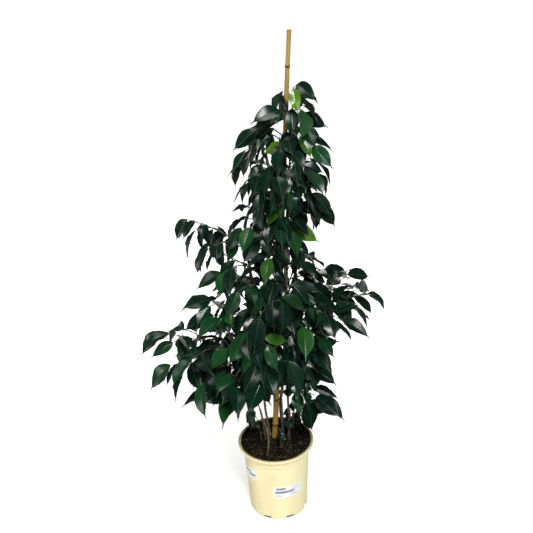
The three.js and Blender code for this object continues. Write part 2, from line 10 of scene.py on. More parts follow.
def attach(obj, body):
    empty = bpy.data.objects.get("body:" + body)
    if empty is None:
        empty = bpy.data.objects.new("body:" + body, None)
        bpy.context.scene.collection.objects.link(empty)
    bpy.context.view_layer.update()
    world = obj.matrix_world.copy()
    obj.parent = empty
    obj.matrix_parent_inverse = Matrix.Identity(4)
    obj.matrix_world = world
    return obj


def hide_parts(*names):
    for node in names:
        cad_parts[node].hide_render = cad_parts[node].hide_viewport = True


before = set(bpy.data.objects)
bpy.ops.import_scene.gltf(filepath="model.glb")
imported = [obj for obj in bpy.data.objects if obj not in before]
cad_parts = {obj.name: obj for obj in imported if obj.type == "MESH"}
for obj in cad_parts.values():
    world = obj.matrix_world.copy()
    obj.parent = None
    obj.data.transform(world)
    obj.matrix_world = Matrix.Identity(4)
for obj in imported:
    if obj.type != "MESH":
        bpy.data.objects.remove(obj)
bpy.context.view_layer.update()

# The plant is grown here by the same rule as its solids, in millimetres, and becomes metres when its
# meshes are made. The viewer stands at -Y, and headings run from +X (0) towards +Y (90).
MM = 0.001
UP = np.array([0.0, 0.0, 1.0])

# Camera: the photograph's own view, from 1.41 m up and 1.6 m in front of the pot's axis
FOCAL_PIXELS = 600
IMAGE_PIXELS = 533
SENSOR = 36
CAMERA = {"place": (0, -1.6099, 1.4107), "pitch": 20.02, "roll": -3.09}


def add_camera():
    pitch, roll = radians(CAMERA["pitch"]), radians(CAMERA["roll"])
    forward = Vector((0, cos(pitch), -sin(pitch)))
    level = Vector((1, 0, 0))
    above = level.cross(forward)
    right = cos(roll) * level + sin(roll) * above
    top = -sin(roll) * level + cos(roll) * above
    data = bpy.data.cameras.new("camera")
    data.sensor_width = SENSOR
    data.lens = FOCAL_PIXELS / IMAGE_PIXELS * SENSOR
    camera = bpy.data.objects.new("camera", data)
    bpy.context.collection.objects.link(camera)
    place = Matrix((right, top, -forward)).transposed().to_4x4()
    place.translation = CAMERA["place"]
    camera.matrix_world = place
    bpy.context.scene.camera = camera


# Driving dimensions of the plant, in millimetres. Leaves have a usual length by height.
STEM_BASE = 228
SOIL_TOP = 230
HEAP = {"x": 62, "y": 55, "height": 40, "radius": 26}
LEAF = {
    "lengths": ((450, 92), (800, 81), (1150, 73)), "end_leaf_share": 1.1, "half_width": 0.205,
    "thickness": 1.3, "stalk": 15, "root_lift": 0.15, "root_sink": 1.5, "widest_at": 0.34, "taper_at": 0.62,
    "taper_share": 0.8, "neck_at": 0.86, "neck_share": 0.11, "hang_droop": 66, "added_lift": 26,
    "turn_to_light": 0.38,
}

# What is drawn for each leaf: channel, least and most. Angles are in degrees, the extra length, the wave
# and the ripple in millimetres, and the rest are shares, turns and the number of ripples.
LEAF_DRAWS = {
    "longer": (1, -17, 17), "stalk": (2, 0.8, 1.2), "to_side": (3, 27, 53), "astray": (4, -17, 17),
    "droop": (5, -13, 21), "roll": (6, -42, 42), "width": (7, 0.92, 1.12), "bow": (8, 18, 52),
    "fold": (9, 0.16, 0.48), "wave": (10, 1.2, 2.8), "wave_side": (11, -1, 1), "sway": (12, -0.085, 0.085),
    "curl": (13, -0.34, 1.36), "ripples": (14, 4.4, 6.8), "left_phase": (15, 0, 1),
    "right_phase": (16, 0, 1), "ripple": (17, 0.5, 1.3), "twist": (18, -7, 7),
}

# The light that the plant grew in came from its front and above; leaves behind it turn to it less
LIGHT = np.array([-0.1, -0.8, 0.6]) / sqrt(1.01)
SHADE = {"from": 20, "depth": 120, "least": 0.1}

# Twigs: share without leaves, radii at start and tip, steps of the solid's tube and way from leaf to leaf
SPRAY = {"bare": 0.35, "radius": (2.4, 1.5), "steps": 4, "spacing": 21}
SIDE_TWIG = {"bare": 0.2, "radius": (1.8, 1.5), "steps": 2, "spacing": 21}
FILLING_TWIG = {"bare": 0.26, "radius": (1.8, 1.5), "steps": 2, "spacing": 16}
TWIG_DRAWS = {"reach": (1, 0.7, 1.2), "rise": (2, 0.25, 0.5), "hang": (3, 0.6, 1)}
CURVED_LENGTH = 1.04

# Each stem: its radius at foot and top, its axis as rows of height, x and y, the sector of headings of
# its filling twigs, their number, and its sprays: start height, tip x, y and height, arch and hang
STEMS = {
    "leader": {
        "radius": (6, 2),
        "points": (
            (STEM_BASE, 26, 43), (345, 21, 32), (430, 32, 25), (600, 44, 17), (800, 58, 13),
            (1000, 70, 12), (1150, 80, 12), (1240, 88, 12), (1306, 95, 4),
        ),
        "sector": ((400, -10, 100), (1000, -40, 110), (1060, -80, 150), (1180, -150, 150)),
        "twigs": 17,
        "sprays": (
            (1270, 104, -8, 1314, 18, 1),
            (1205, 108, -22, 1228, 28, 0.6),
            (1185, 62, -8, 1246, 20, 0),
            (1160, 10, 6, 1208, 36, 0.5),
            (1140, 128, -30, 1166, 30, 0.6),
            (1100, -26, 0, 1158, 40, 0.6),
            (1040, 140, 30, 1080, 40, 0.6),
            (700, 130, 175, 790, 60, 0.3),
            (560, 175, 150, 640, 60, 0.25),
        ),
    },
    "left": {
        "radius": (4.5, 1.8),
        "points": (
            (STEM_BASE, -16, 30), (365, -29, 20), (480, -22, 4), (640, 8, -12), (820, 22, -14),
            (1030, 40, -18), (1090, 42, -30),
        ),
        "sector": ((400, 165, 280), (1090, 165, 285)),
        "twigs": 12,
        "sprays": (
            (1050, -24, -55, 1086, 36, 0.7),
            (800, -198, -10, 972, 55, 0.65),
            (770, -150, 5, 880, 25, 0.8),
            (720, -116, -30, 816, 25, 0.5),
            (620, -176, -15, 738, 25, 0.15),
            (480, -302, -28, 642, 50, 0.3),
            (440, -280, -50, 552, 60, 0.7),
            (450, -195, 50, 505, 30, 0.25),
            (395, -180, -48, 452, 26, 0.15),
            (890, -50, -34, 950, 24, 0.8),
        ),
    },
    "right": {
        "radius": (4.5, 1.8),
        "points": (
            (STEM_BASE, 42, 12), (330, 46, 4), (450, 42, -14), (600, 40, -18), (800, 50, -20),
            (1000, 64, -20), (1110, 74, -26),
        ),
        "sector": ((400, 262, 370), (1110, 255, 375)),
        "twigs": 10,
        "sprays": (
            (1075, 108, -75, 1108, 30, 0.6),
            (965, 134, -34, 1012, 36, 0.6),
            (620, 220, 2, 774, 30, 0),
            (610, 276, -14, 726, 60, 0.2),
            (570, 212, -30, 696, 45, 0.3),
            (530, 170, -42, 654, 35, 0.25),
            (460, 112, -50, 514, 30, 0.15),
            (400, 115, -64, 436, 40, 0.15),
            (300, 130, -50, 402, 30, 0.2),
        ),
    },
    "back": {
        "radius": (4.5, 1.8),
        "points": (
            (STEM_BASE, 2, 66), (340, 2, 56), (480, 8, 48), (640, 18, 42), (820, 30, 40),
            (1020, 46, 40), (1180, 54, 44),
        ),
        "sector": ((400, 95, 165), (1060, 95, 185), (1180, 140, 230)),
        "twigs": 9,
        "sprays": (
            (1040, -34, 66, 1110, 40, 0.6),
            (860, -40, 150, 960, 50, 0.4),
            (740, 40, 200, 850, 60, 0.3),
            (620, -90, 190, 730, 60, 0.25),
            (500, 50, 240, 610, 60, 0.25),
            (430, -150, 190, 530, 50, 0.2),
        ),
    },
    "front": {
        "radius": (2.8, 1.5),
        "points": (
            (STEM_BASE, -29, -73), (297, -22, -72), (373, -37, -68), (441, -52, -62), (560, -40, -60),
            (720, -6, -62),
        ),
        "sector": ((420, 200, 300), (720, 220, 330)),
        "twigs": 4,
        "sprays": (
            (410, -108, -92, 486, 22, 0.3),
            (450, -140, -120, 550, 40, 0.3),
            (500, 36, -150, 600, 40, 0.6),
            (580, -60, -165, 690, 40, 0.55),
            (690, 30, -150, 780, 40, 0.7),
        ),
    },
}

# Filling twigs: where they start on every stem, and their reach by height
FILLING_START = 480
CROWN = (
    (380, 50), (470, 76), (620, 76), (800, 38), (900, 34), (1050, 54), (1150, 62), (1230, 44), (1320, 26),
)

# Turns in degrees that are tried in order until a twig is clear, or until a leaf is, in spread and droop
TWIG_BENDS = (0, 13, -13, 26, -26, 40, -40, 55, -55)
LEAF_BENDS = (
    (0, 0), (22, 0), (-22, 0), (0, 22), (0, -22), (44, 10), (-44, 10), (20, 30), (-20, -30),
)

# Side twigs: how far out they leave their spray, to which side, the least spray that has them and seed
SIDE_ANGLE = 48
SIDE_REACH = 0.62
SIDE_TWIGS = ((0.45, 1, 150, 30), (0.6, -1, 260, 10))

# Seeds: a thousand for each stem, then so many on from spray to spray and from twig to twig. Filling
# twigs, added side twigs and added filling twigs have their own first seeds, and so have the shoots.
SEEDS = {"stem": 1000, "spray": 50, "twig": 20, "filling": 500, "added_side": 7000, "added_filling": 7500,
         "shoots": 9000}
GOLDEN = 0.618034
STEM_TURN = 0.37

# What the solids leave out: more twigs, and a leaf between every two
ADDED_SIDE_TWIGS = ((0.3, -1, 130, 0), (0.8, 1, 180, 20))
LOWEST_SIDE_TWIG = 425
ADDED_TWIGS = {"leader": 20, "left": 14, "right": 14, "back": 14, "front": 5}

# Twigs that close the front and the foot: stem, lowest and highest start, the two headings, number,
# first seed and size of leaf
CLOSING_TWIGS = (
    ("leader", 1000, 1250, 225, 300, 9, 8500, 1), ("left", 560, 1080, 200, 275, 15, 8500, 1),
    ("right", 560, 1100, 262, 335, 15, 8500, 1), ("left", 400, 500, 180, 250, 3, 8900, 0.55),
    ("right", 420, 520, 290, 350, 3, 8900, 0.6), ("back", 330, 480, 20, 170, 5, 8900, 0.65),
)

# The plant's waist on the right, where no twig is added: lowest and highest start, least way to the right
WAIST = (770, 930, 0.25)

# Thin shoots round the foot: foot x and y, the middle that bends them, the tip, radii at foot and tip,
# share without leaves, hang and size of leaf
SHOOTS = (
    ((-20, -6), (-25, -8, 340), (-40, -22, 520), (2.0, 1.1), 0.72, 0.5, 0.55),
    ((-30, 10), (-42, 9, 340), (-62, -2, 440), (2.2, 1.1), 0.7, 0.6, 0.5),
    ((24, -10), (27, -6, 400), (22, -34, 590), (3.0, 1.5), 0.75, 0.6, 0.6),
    ((56, 34), (66, 38, 340), (74, 34, 440), (2.5, 1.2), 0.45, 0.4, 0.5),
    ((14, -20), (16, -22, 270), (22, -30, 322), (1.6, 0.9), 0.35, 0.4, 0.42),
    ((-44, 20), (-52, 14, 300), (-66, -2, 352), (1.7, 0.9), 0.5, 0.7, 0.55),
    ((68, 50), (78, 50, 300), (84, 40, 335), (1.6, 0.9), 0.3, 0.4, 0.42),
    ((50, 56), (48, 52, 300), (58, 30, 350), (1.6, 0.9), 0.3, 0.5, 0.45),
)

# The bamboo cane: its foot and top, how it leans to the right, and the heights of its nodes
CANE = {"foot": 25, "top": 1451, "lean": 0.0726, "foot_radius": 8.7, "top_radius": 5.6, "soil_x": -2,
        "soil_y": 20, "hollow": 12, "nodes": (280, 371, 490, 650, 825, 1008, 1190, 1362)}


def draw(seed, channel):
    """The same repeatable number from 0 to 1 for the same seed and channel."""
    wave = sin(seed * 12.9898 + channel * 78.233) * 43758.5453
    return wave - floor(wave)


def drawn(seed, channel, low, high):
    """A repeatable number from low to high."""
    return low + (high - low) * draw(seed, channel)


def read_table(rows, key):
    """The other columns of a table where its first column has the key, read between rows."""
    keys = [row[0] for row in rows]
    return [float(np.interp(key, keys, [row[k] for row in rows])) for k in range(1, len(rows[0]))]


def unit(v):
    return v / np.linalg.norm(v)


def heading(degrees):
    return np.array([cos(radians(degrees)), sin(radians(degrees)), 0.0])


def turned(v, axis, angle):
    """v turned about a unit axis by an angle in radians."""
    return (v * cos(angle) + np.cross(axis, v) * sin(angle)
            + axis * np.dot(axis, v) * (1 - cos(angle)))


# Stems

def stem_at(stem, z):
    """The stem's axis at a height, a cubic through its points."""
    rows = np.array(stem["points"], float)
    last = len(rows) - 1
    i = 0
    while i < last - 1 and z > rows[i + 1][0]:
        i += 1

    def slope(k):
        run = rows[min(k + 1, last)] - rows[max(k - 1, 0)]
        return run / run[0]

    h = rows[i + 1][0] - rows[i][0]
    u = (z - rows[i][0]) / h
    at = ((2 * u ** 3 - 3 * u ** 2 + 1) * rows[i] + (u ** 3 - 2 * u ** 2 + u) * h * slope(i)
          + (-2 * u ** 3 + 3 * u ** 2) * rows[i + 1] + (u ** 3 - u ** 2) * h * slope(i + 1))
    return np.array([at[1], at[2], z])


# Twigs

def twig_curve(start, tip, arch):
    away = unit((tip - start) * (1, 1, 0))
    return {"start": start, "control": (start + tip) / 2 + UP * arch, "tip": tip, "away": away,
            "side": np.array([-away[1], away[0], 0.0]),
            "length": float(np.linalg.norm(tip - start)) * CURVED_LENGTH}


def curve_point(twig, t):
    return twig["start"] * (1 - t) ** 2 + twig["control"] * 2 * t * (1 - t) + twig["tip"] * t ** 2


def twig_point(twig, t):
    """A point on the solid's axis, which runs straight from ring to ring."""
    steps = twig["steps"]
    k = min(int(t * steps), steps - 1)
    a, b = curve_point(twig, k / steps), curve_point(twig, (k + 1) / steps)
    return a + (b - a) * (t * steps - k)


def twig_tangent(twig, t):
    return unit((twig["control"] - twig["start"]) * (1 - t) + (twig["tip"] - twig["control"]) * t)


def twig_radius(twig, t):
    return twig["radius"][0] + (twig["radius"][1] - twig["radius"][0]) * t


def twig_corners(twig):
    corners = []
    for k in range(1, twig["steps"] + 1):
        at = curve_point(twig, k / twig["steps"])
        for angle in np.radians((90, 210, 330)):
            way = twig["side"] * cos(angle) + UP * sin(angle)
            corners.append(at + way * twig_radius(twig, k / twig["steps"]))
    return corners


# Leaves

def leaf_places(twig, first):
    """Places of every other leaf from the twig's tip back: the solid's own from 0, the added ones from 1.
    The added ones stand higher or lower on the twig's side, which is their lift in degrees."""
    places = []
    k = first
    while k * twig["spacing"] / twig["length"] < 1 - twig["bare"]:
        turn = 0 if k == 0 else 1 - k % 4 if k % 2 == 0 else 2 - k % 4
        lift = 0 if k % 2 == 0 else LEAF["added_lift"] * turn
        places.append({"t": 1 - k * twig["spacing"] / twig["length"], "turn": turn, "lift": lift,
                       "seed": twig["seed"] + k})
        k += 2
    return places


def turn_to_light(root, along, level):
    """How far a blade rolls about its length towards the light."""
    lit = LIGHT - along * np.dot(LIGHT, along)
    angle = atan2(np.dot(np.cross(level, lit), along), np.dot(level, lit))
    share = min(max(1 - (root[1] - SHADE["from"]) / SHADE["depth"], SHADE["least"]), 1)
    return LEAF["turn_to_light"] * share * angle


def leaf_shape(twig, place, bend):
    """Everything that sets a leaf: its size, where its stalk leaves the twig and how its blade hangs."""
    seed, turn, t = place["seed"], place["turn"], place["t"]
    hang = twig["hang"]
    tangent = twig_tangent(twig, t)
    root = twig_point(twig, t) + UP * LEAF["root_lift"]
    if turn == 0:
        root = root - tangent * LEAF["root_sink"]
    usual = read_table(LEAF["lengths"], root[2])[0] * (LEAF["end_leaf_share"] if turn == 0 else 1)
    scale = twig.get("leaf_scale", 1)
    length = scale * (usual + drawn(seed, *LEAF_DRAWS["longer"]))
    rise = 0.3 - 0.25 * hang + place["lift"] / 60
    way = unit(tangent * (1 if turn == 0 else 0.55) + twig["side"] * 0.8 * turn + UP * rise)
    base = root + way * scale * LEAF["stalk"] * drawn(seed, *LEAF_DRAWS["stalk"])
    spread = turn * drawn(seed, *LEAF_DRAWS["to_side"]) + drawn(seed, *LEAF_DRAWS["astray"]) + bend[0]
    droop = LEAF["hang_droop"] * hang + drawn(seed, *LEAF_DRAWS["droop"]) + bend[1] - place["lift"]
    droop = radians(droop)
    flat = turned(twig["away"], UP, radians(spread))
    along = flat * cos(droop) - UP * sin(droop)
    level = flat * sin(droop) + UP * cos(droop)
    roll = turn_to_light(root, along, level) + radians(drawn(seed, *LEAF_DRAWS["roll"]) + 10 * turn)
    normal = turned(level, along, roll)
    return {
        "seed": seed, "root": root, "base": base, "along": along, "normal": normal, "way": way,
        "right": np.cross(along, normal), "length": length,
        "half": length * LEAF["half_width"] * drawn(seed, *LEAF_DRAWS["width"]),
        "bow": radians(drawn(seed, *LEAF_DRAWS["bow"])), "fold": drawn(seed, *LEAF_DRAWS["fold"]),
        "wave": drawn(seed, *LEAF_DRAWS["wave"]) * (-1 if drawn(seed, *LEAF_DRAWS["wave_side"]) < 0 else 1),
        "end": turn == 0,
    }


def midrib(leaf, share):
    """Places and normals on the midrib at one share of the blade's length, or at an array of them."""
    angle = np.multiply(leaf["bow"], share)[..., None]
    radius = leaf["length"] / leaf["bow"]
    at = (leaf["base"] + leaf["along"] * radius * np.sin(angle)
          - leaf["normal"] * radius * (1 - np.cos(angle)))
    return at, leaf["normal"] * np.cos(angle) + leaf["along"] * np.sin(angle)


def leaf_corners(leaf):
    corners = [midrib(leaf, 1.0)[0]]
    for share, half, wave in ((LEAF["widest_at"], 1, 1), (LEAF["taper_at"], LEAF["taper_share"], -1)):
        at, normal = midrib(leaf, share)
        for way in (-1, 1):
            width = leaf["half"] * half
            lift = leaf["fold"] * width + way * wave * leaf["wave"]
            corners.append(at + leaf["right"] * way * width + normal * lift)
    neck, normal = midrib(leaf, LEAF["neck_at"])
    for way in (-1, 1):
        corners.append(neck + leaf["right"] * way * leaf["half"] * LEAF["neck_share"]
                       + normal * 0.4 * LEAF["thickness"])
    return corners


# Finding the twigs and leaves of a solid, which were bent there until they were clear of each other

# How near a corner of the solid has to be, and how many corners of a twig and of a leaf have to be found
MATCH = 0.1
LEAST_CORNERS = {"twig": 3, "leaf": 4}


class Corners:
    """The corner points of a CAD node."""

    def __init__(self, node):
        points = np.array([v.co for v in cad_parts[node].data.vertices]) / MM
        self.tree = kdtree.KDTree(len(points))
        for i, point in enumerate(points):
            self.tree.insert(point, i)
        self.tree.balance()

    def best(self, shapes, corners_of, least):
        """The shape that has the most of its corners here, or None if even that has too few."""
        counts = [sum(self.tree.find(p)[2] < MATCH for p in corners_of(shape)) for shape in shapes]
        most = max(counts)
        return shapes[counts.index(most)] if most >= least else None


# Clearance of what is added, tested on coarse patches

class Standing:
    """Coarse surfaces of all that stands, to test what is added against."""

    def __init__(self):
        self.low, self.high, self.trees, self.owners = [], [], [], []

    def add(self, points, faces, owner):
        self.low.append(points.min(axis=0))
        self.high.append(points.max(axis=0))
        self.trees.append(BVHTree.FromPolygons(points.tolist(), faces))
        self.owners.append(owner)

    def clear(self, points, faces, ignore):
        low, high = points.min(axis=0), points.max(axis=0)
        near = np.all((np.array(self.low) <= high) & (np.array(self.high) >= low), axis=1)
        tree = None
        for i in np.flatnonzero(near):
            if self.owners[i] in ignore:
                continue
            tree = tree or BVHTree.FromPolygons(points.tolist(), faces)
            if tree.overlap(self.trees[i]):
                return False
        return True


standing = Standing()

# A leaf's patch: shares of its length and of its half width. Stems and cane: coarse tubes' sizes.
COARSE = {"stem_step": 40, "stem_share": 0.8, "stem_sides": 5, "cane_radius": 7, "cane_sides": 6}
PATCH_ROWS = ((0.02, 0.1), (0.12, 0.7), (0.34, 1), (0.62, 0.8), (0.86, 0.11), (1, 0.01))
PATCH_FACES = [[3 * r + c, 3 * r + c + 1, 3 * r + c + 4, 3 * r + c + 3]
               for r in range(len(PATCH_ROWS) - 1) for c in (0, 1)]


def blade_patch(leaf):
    points = []
    for share, half in PATCH_ROWS:
        at, normal = midrib(leaf, share)
        width = leaf["half"] * half
        for way in (-1, 0, 1):
            points.append(at + leaf["right"] * way * width + normal * leaf["fold"] * width * abs(way))
    return np.array(points)


def circle(radius, z, sides):
    """Points round the axis. The radius is one number or one for each point."""
    angles = np.arange(sides) * 2 * pi / sides
    return np.stack([np.cos(angles) * radius, np.sin(angles) * radius, np.full(sides, z)], axis=1)


def closed_body(rings):
    """Points and faces of a closed body through rings of points, with a flat face at each end."""
    sides = len(rings[0])
    last = (len(rings) - 1) * sides
    faces = []
    for k in range(0, last, sides):
        for i in range(sides):
            j = (i + 1) % sides
            faces.append([k + i, k + j, k + sides + j, k + sides + i])
    faces.append(list(range(sides - 1, -1, -1)))
    faces.append(list(range(last, last + sides)))
    return np.concatenate(rings), faces


def tube(path, radii, sides):
    """Points and faces of a closed tube along a path."""
    path = np.asarray(path, float)
    radii = np.broadcast_to(radii, len(path))
    tangents = np.gradient(path, axis=0)
    tangents /= np.linalg.norm(tangents, axis=1)[:, None]
    side = np.cross(tangents[0], (0.31, 0.47, 0.83))
    angles = np.arange(sides)[:, None] * 2 * pi / sides
    rings = []
    for at, tangent, radius in zip(path, tangents, radii):
        side = unit(side - tangent * np.dot(side, tangent))
        rings.append(at + radius * (np.cos(angles) * side + np.sin(angles) * np.cross(tangent, side)))
    return closed_body(rings)


def coarse_tube(twig):
    shares = np.linspace(0.06, 1, 5)
    return tube([curve_point(twig, t) for t in shares], [twig_radius(twig, t) for t in shares], 3)


# Growing the plant

def bent_twigs(start, tip, arch, traits):
    """The twig turned about its start, as it would be tried until it is clear."""
    for bend in TWIG_BENDS:
        yield {**twig_curve(start, start + turned(tip - start, UP, radians(bend)), arch), **traits}


def grow_added_twig(bearer, start, tip, arch, traits):
    """The first of the bent twigs that is clear of what stands, its bearer aside."""
    low, high, right = WAIST
    if low < start[2] < high and unit(tip - start)[0] > right:
        return None
    for twig in bent_twigs(start, tip, arch, traits):
        if standing.clear(*coarse_tube(twig), {bearer}):
            return {**twig, "added": True}
    return None


def side_twigs(spray, rows, first_seed):
    """Start, tip, arch and traits of the twigs that leave a spray to its sides."""
    for share, turn, least, seed in rows:
        if spray["length"] >= least:
            start = twig_point(spray, share)
            way = turned(spray["away"], UP, radians(turn * SIDE_ANGLE))
            reach = spray["length"] * (1 - share) * SIDE_REACH
            tip = start + way * reach + UP * reach * (0.3 - 0.3 * spray["hang"])
            yield start, tip, reach * 0.2, {**SIDE_TWIG, "seed": first_seed + seed, "hang": spray["hang"]}


def climbing_twigs(stem, heights, count, first_seed, first_turn, step=0.5, sector=None, leaf_scale=1):
    """Start, tip, arch and traits of twigs up a stem, each turned on by the golden share of the sector."""
    low, high = heights
    for k in range(count):
        seed = first_seed + SEEDS["twig"] * k
        z = low + (high - low) * (k + step) / count
        left, right = sector or read_table(stem["sector"], z)
        way = heading(left + (right - left) * ((k * GOLDEN + first_turn) % 1))
        reach = read_table(CROWN, z)[0] * drawn(seed, *TWIG_DRAWS["reach"])
        start = stem_at(stem, z)
        tip = start + way * reach + UP * reach * drawn(seed, *TWIG_DRAWS["rise"])
        traits = {"seed": seed, "hang": drawn(seed, *TWIG_DRAWS["hang"]), "leaf_scale": leaf_scale}
        yield start, tip, reach * 0.35, {**FILLING_TWIG, **traits}


def solid_twigs(stem, index, corners):
    """The twigs that the stem's solid has."""
    def find(shape):
        return corners.best(list(bent_twigs(*shape)), twig_corners, LEAST_CORNERS["twig"])

    grown = []
    first_seed = SEEDS["stem"] * (index + 1)
    for k, (z, x, y, tip_z, arch, hang) in enumerate(stem["sprays"]):
        seed = first_seed + SEEDS["spray"] * k
        tip = np.array([x, y, tip_z], float)
        spray = find((stem_at(stem, z), tip, arch, {**SPRAY, "seed": seed, "hang": hang, "spray": True}))
        if spray:
            grown += [spray] + [find(shape) for shape in side_twigs(spray, SIDE_TWIGS, seed)]
    heights = (FILLING_START, stem["points"][-1][0])
    filling = climbing_twigs(stem, heights, stem["twigs"], first_seed + SEEDS["filling"], STEM_TURN * index)
    grown += [find(shape) for shape in filling]
    return [twig for twig in grown if twig]


def added_twigs(name, stem, index, sprays):
    """Twigs that only the finer plant has."""
    grown = []
    stem_seed = SEEDS["stem"] * (index + 1)
    for k, spray in enumerate(sprays):
        if spray["start"][2] > LOWEST_SIDE_TWIG:
            seed = stem_seed + SEEDS["added_side"] + SEEDS["spray"] * k
            shapes = side_twigs(spray, ADDED_SIDE_TWIGS, seed)
            grown += [grow_added_twig(id(spray), *shape) for shape in shapes]
    heights = (FILLING_START, stem["points"][-1][0])
    shapes = list(climbing_twigs(stem, heights, ADDED_TWIGS[name], stem_seed + SEEDS["added_filling"],
                                 STEM_TURN * index + 0.45, step=0.9))
    for carrier, low, high, left, right, count, seed, leaf_scale in CLOSING_TWIGS:
        if carrier == name:
            shapes += climbing_twigs(stem, (low, high), count, stem_seed + seed, 0.2,
                                     sector=(left, right), leaf_scale=leaf_scale)
    grown += [grow_added_twig(name, *shape) for shape in shapes]
    return [twig for twig in grown if twig]


def grow_plant():
    """Twigs and leaves of every stem. What the solids have comes first, then what is added."""
    plant = {}
    for index, (name, stem) in enumerate(STEMS.items()):
        corners = Corners("leafy_stem_" + name)
        twigs = solid_twigs(stem, index, corners)
        leaves = []
        for twig in twigs:
            for place in leaf_places(twig, 0):
                shapes = [leaf_shape(twig, place, bend) for bend in LEAF_BENDS]
                leaf = corners.best(shapes, leaf_corners, LEAST_CORNERS["leaf"])
                if leaf:
                    leaves.append(leaf)
        plant[name] = {"twigs": twigs, "leaves": leaves}
        axis = [stem_at(stem, z) for z in np.arange(STEM_BASE, stem["points"][-1][0], COARSE["stem_step"])]
        radius = stem["radius"][0] * COARSE["stem_share"]
        standing.add(*tube(axis, radius, COARSE["stem_sides"]), name)
        for leaf in leaves:
            standing.add(blade_patch(leaf), PATCH_FACES, "leaf")
        for twig in twigs:
            standing.add(*coarse_tube(twig), id(twig))
    axis = [cane_centre(z) for z in (SOIL_TOP, CANE["top"] - CANE["hollow"] + 1)]
    standing.add(*tube(axis, COARSE["cane_radius"], COARSE["cane_sides"]), "cane")
    for index, (name, stem) in enumerate(STEMS.items()):
        grown = plant[name]
        sprays = [twig for twig in grown["twigs"] if twig.get("spray")]
        added = added_twigs(name, stem, index, sprays)
        for twig in added:
            standing.add(*coarse_tube(twig), id(twig))
        grown["twigs"] = grown["twigs"] + added
        for twig in grown["twigs"]:
            for first in (1, 0) if twig.get("added") else (1,):
                add_leaves(grown, twig, first)
    plant["shoots"] = grow_shoots()
    return plant


def grow_shoots():
    """Thin shoots round the foot, with small leaves."""
    grown = {"twigs": [], "leaves": []}
    for k, (foot, middle, tip, radius, bare, hang, scale) in enumerate(SHOOTS):
        start = np.array([*foot, soil_height(*foot) - 12])
        twig = {**twig_curve(start, np.array(tip, float), 0), "control": np.array(middle, float),
                "radius": radius, "bare": bare, "hang": hang, "leaf_scale": scale,
                "steps": 12, "spacing": 15, "seed": SEEDS["shoots"] + SEEDS["spray"] * k}
        grown["twigs"].append(twig)
        for first in (0, 1):
            add_leaves(grown, twig, first)
    return grown


def add_leaves(grown, twig, first):
    """Adds every other leaf of a twig that can be bent clear of what stands."""
    for place in leaf_places(twig, first):
        for bend in LEAF_BENDS:
            leaf = leaf_shape(twig, place, bend)
            patch = blade_patch(leaf)
            if standing.clear(patch, PATCH_FACES, {id(twig)}):
                standing.add(patch, PATCH_FACES, "leaf")
                grown["leaves"].append(leaf)
                break


def cane_centre(z):
    return np.array([CANE["soil_x"] + CANE["lean"] * (z - STEM_BASE), CANE["soil_y"], z])


# Meshes

class Mesh:
    """Points, faces and point values gathered for one object."""

    def __init__(self):
        self.points, self.faces, self.values, self.count = [], [], {}, 0

    def add(self, points, faces, **values):
        self.points.append(points)
        self.faces += [[i + self.count for i in face] for face in faces]
        self.count += len(points)
        for key, value in values.items():
            rows = np.broadcast_to(np.asarray(value, float), (len(points), 3))
            self.values.setdefault(key, []).append(rows)

    def build(self, name, material, smooth=True):
        mesh = bpy.data.meshes.new(name)
        mesh.from_pydata((np.concatenate(self.points) * MM).tolist(), [], self.faces)
        for key, rows in self.values.items():
            attribute = mesh.attributes.new(key, "FLOAT_VECTOR", "POINT")
            attribute.data.foreach_set("vector", np.concatenate(rows).ravel())
        mesh.polygons.foreach_set("use_smooth", [smooth] * len(mesh.polygons))
        mesh.materials.append(material)
        mesh.validate()
        piece = bpy.data.objects.new(name, mesh)
        bpy.context.collection.objects.link(piece)
        return piece


def finish_piece(piece, node=None, sharp=None):
    """Rides a piece on the plant's one body, and puts it in the place of a CAD node if one is given."""
    if sharp:
        piece.data.set_sharp_from_angle(angle=radians(sharp))
    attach(piece, "root")
    if node:
        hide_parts(node)


def axis_body_faces(count, facets, upwards=True):
    """Faces of a closed body of a first point, rings and a last point, from below or from above."""
    last = count - 1
    faces = []
    for i in range(facets):
        j = (i + 1) % facets
        faces += [[0, 1 + j, 1 + i], [last, last - facets + i, last - facets + j]]
        faces += [[a + i, a + j, a + facets + j, a + facets + i] for a in range(1, last - facets, facets)]
    return faces if upwards else [face[:1] + face[:0:-1] for face in faces]


# A blade: shares of its length and of its half width where its points lie, and its section in millimetres
STATIONS = np.array([0, 0.018, 0.05, 0.1, 0.17, 0.25, 0.34, 0.43, 0.52, 0.61, 0.69, 0.76, 0.82, 0.875,
                     0.92, 0.96, 1])
ACROSS = np.array([-1, -0.72, -0.38, -0.07, 0, 0.07, 0.38, 0.72, 1])
BLADE = {"thickness": 0.5, "ridge": 0.5, "groove": 0.3, "body_end": 0.82, "tip_width": 0.14,
         "breadth": 1.08}


def blade_width(s):
    """Half width of the blade as a share of its widest, from its round base to its drip tip."""
    body = np.sin(pi * np.clip(s / BLADE["body_end"], 0, 1) ** 0.85) ** 0.8
    tip = BLADE["tip_width"] * np.clip((1 - s) / 0.3, 0.03, 1) ** 0.8 * np.clip((s - 0.5) / 0.2, 0, 1)
    stalk = 0.045 * np.clip(1 - s / 0.2, 0, 1)
    return BLADE["breadth"] * np.sqrt(np.nan_to_num(body) ** 2 + tip ** 2 + stalk ** 2)


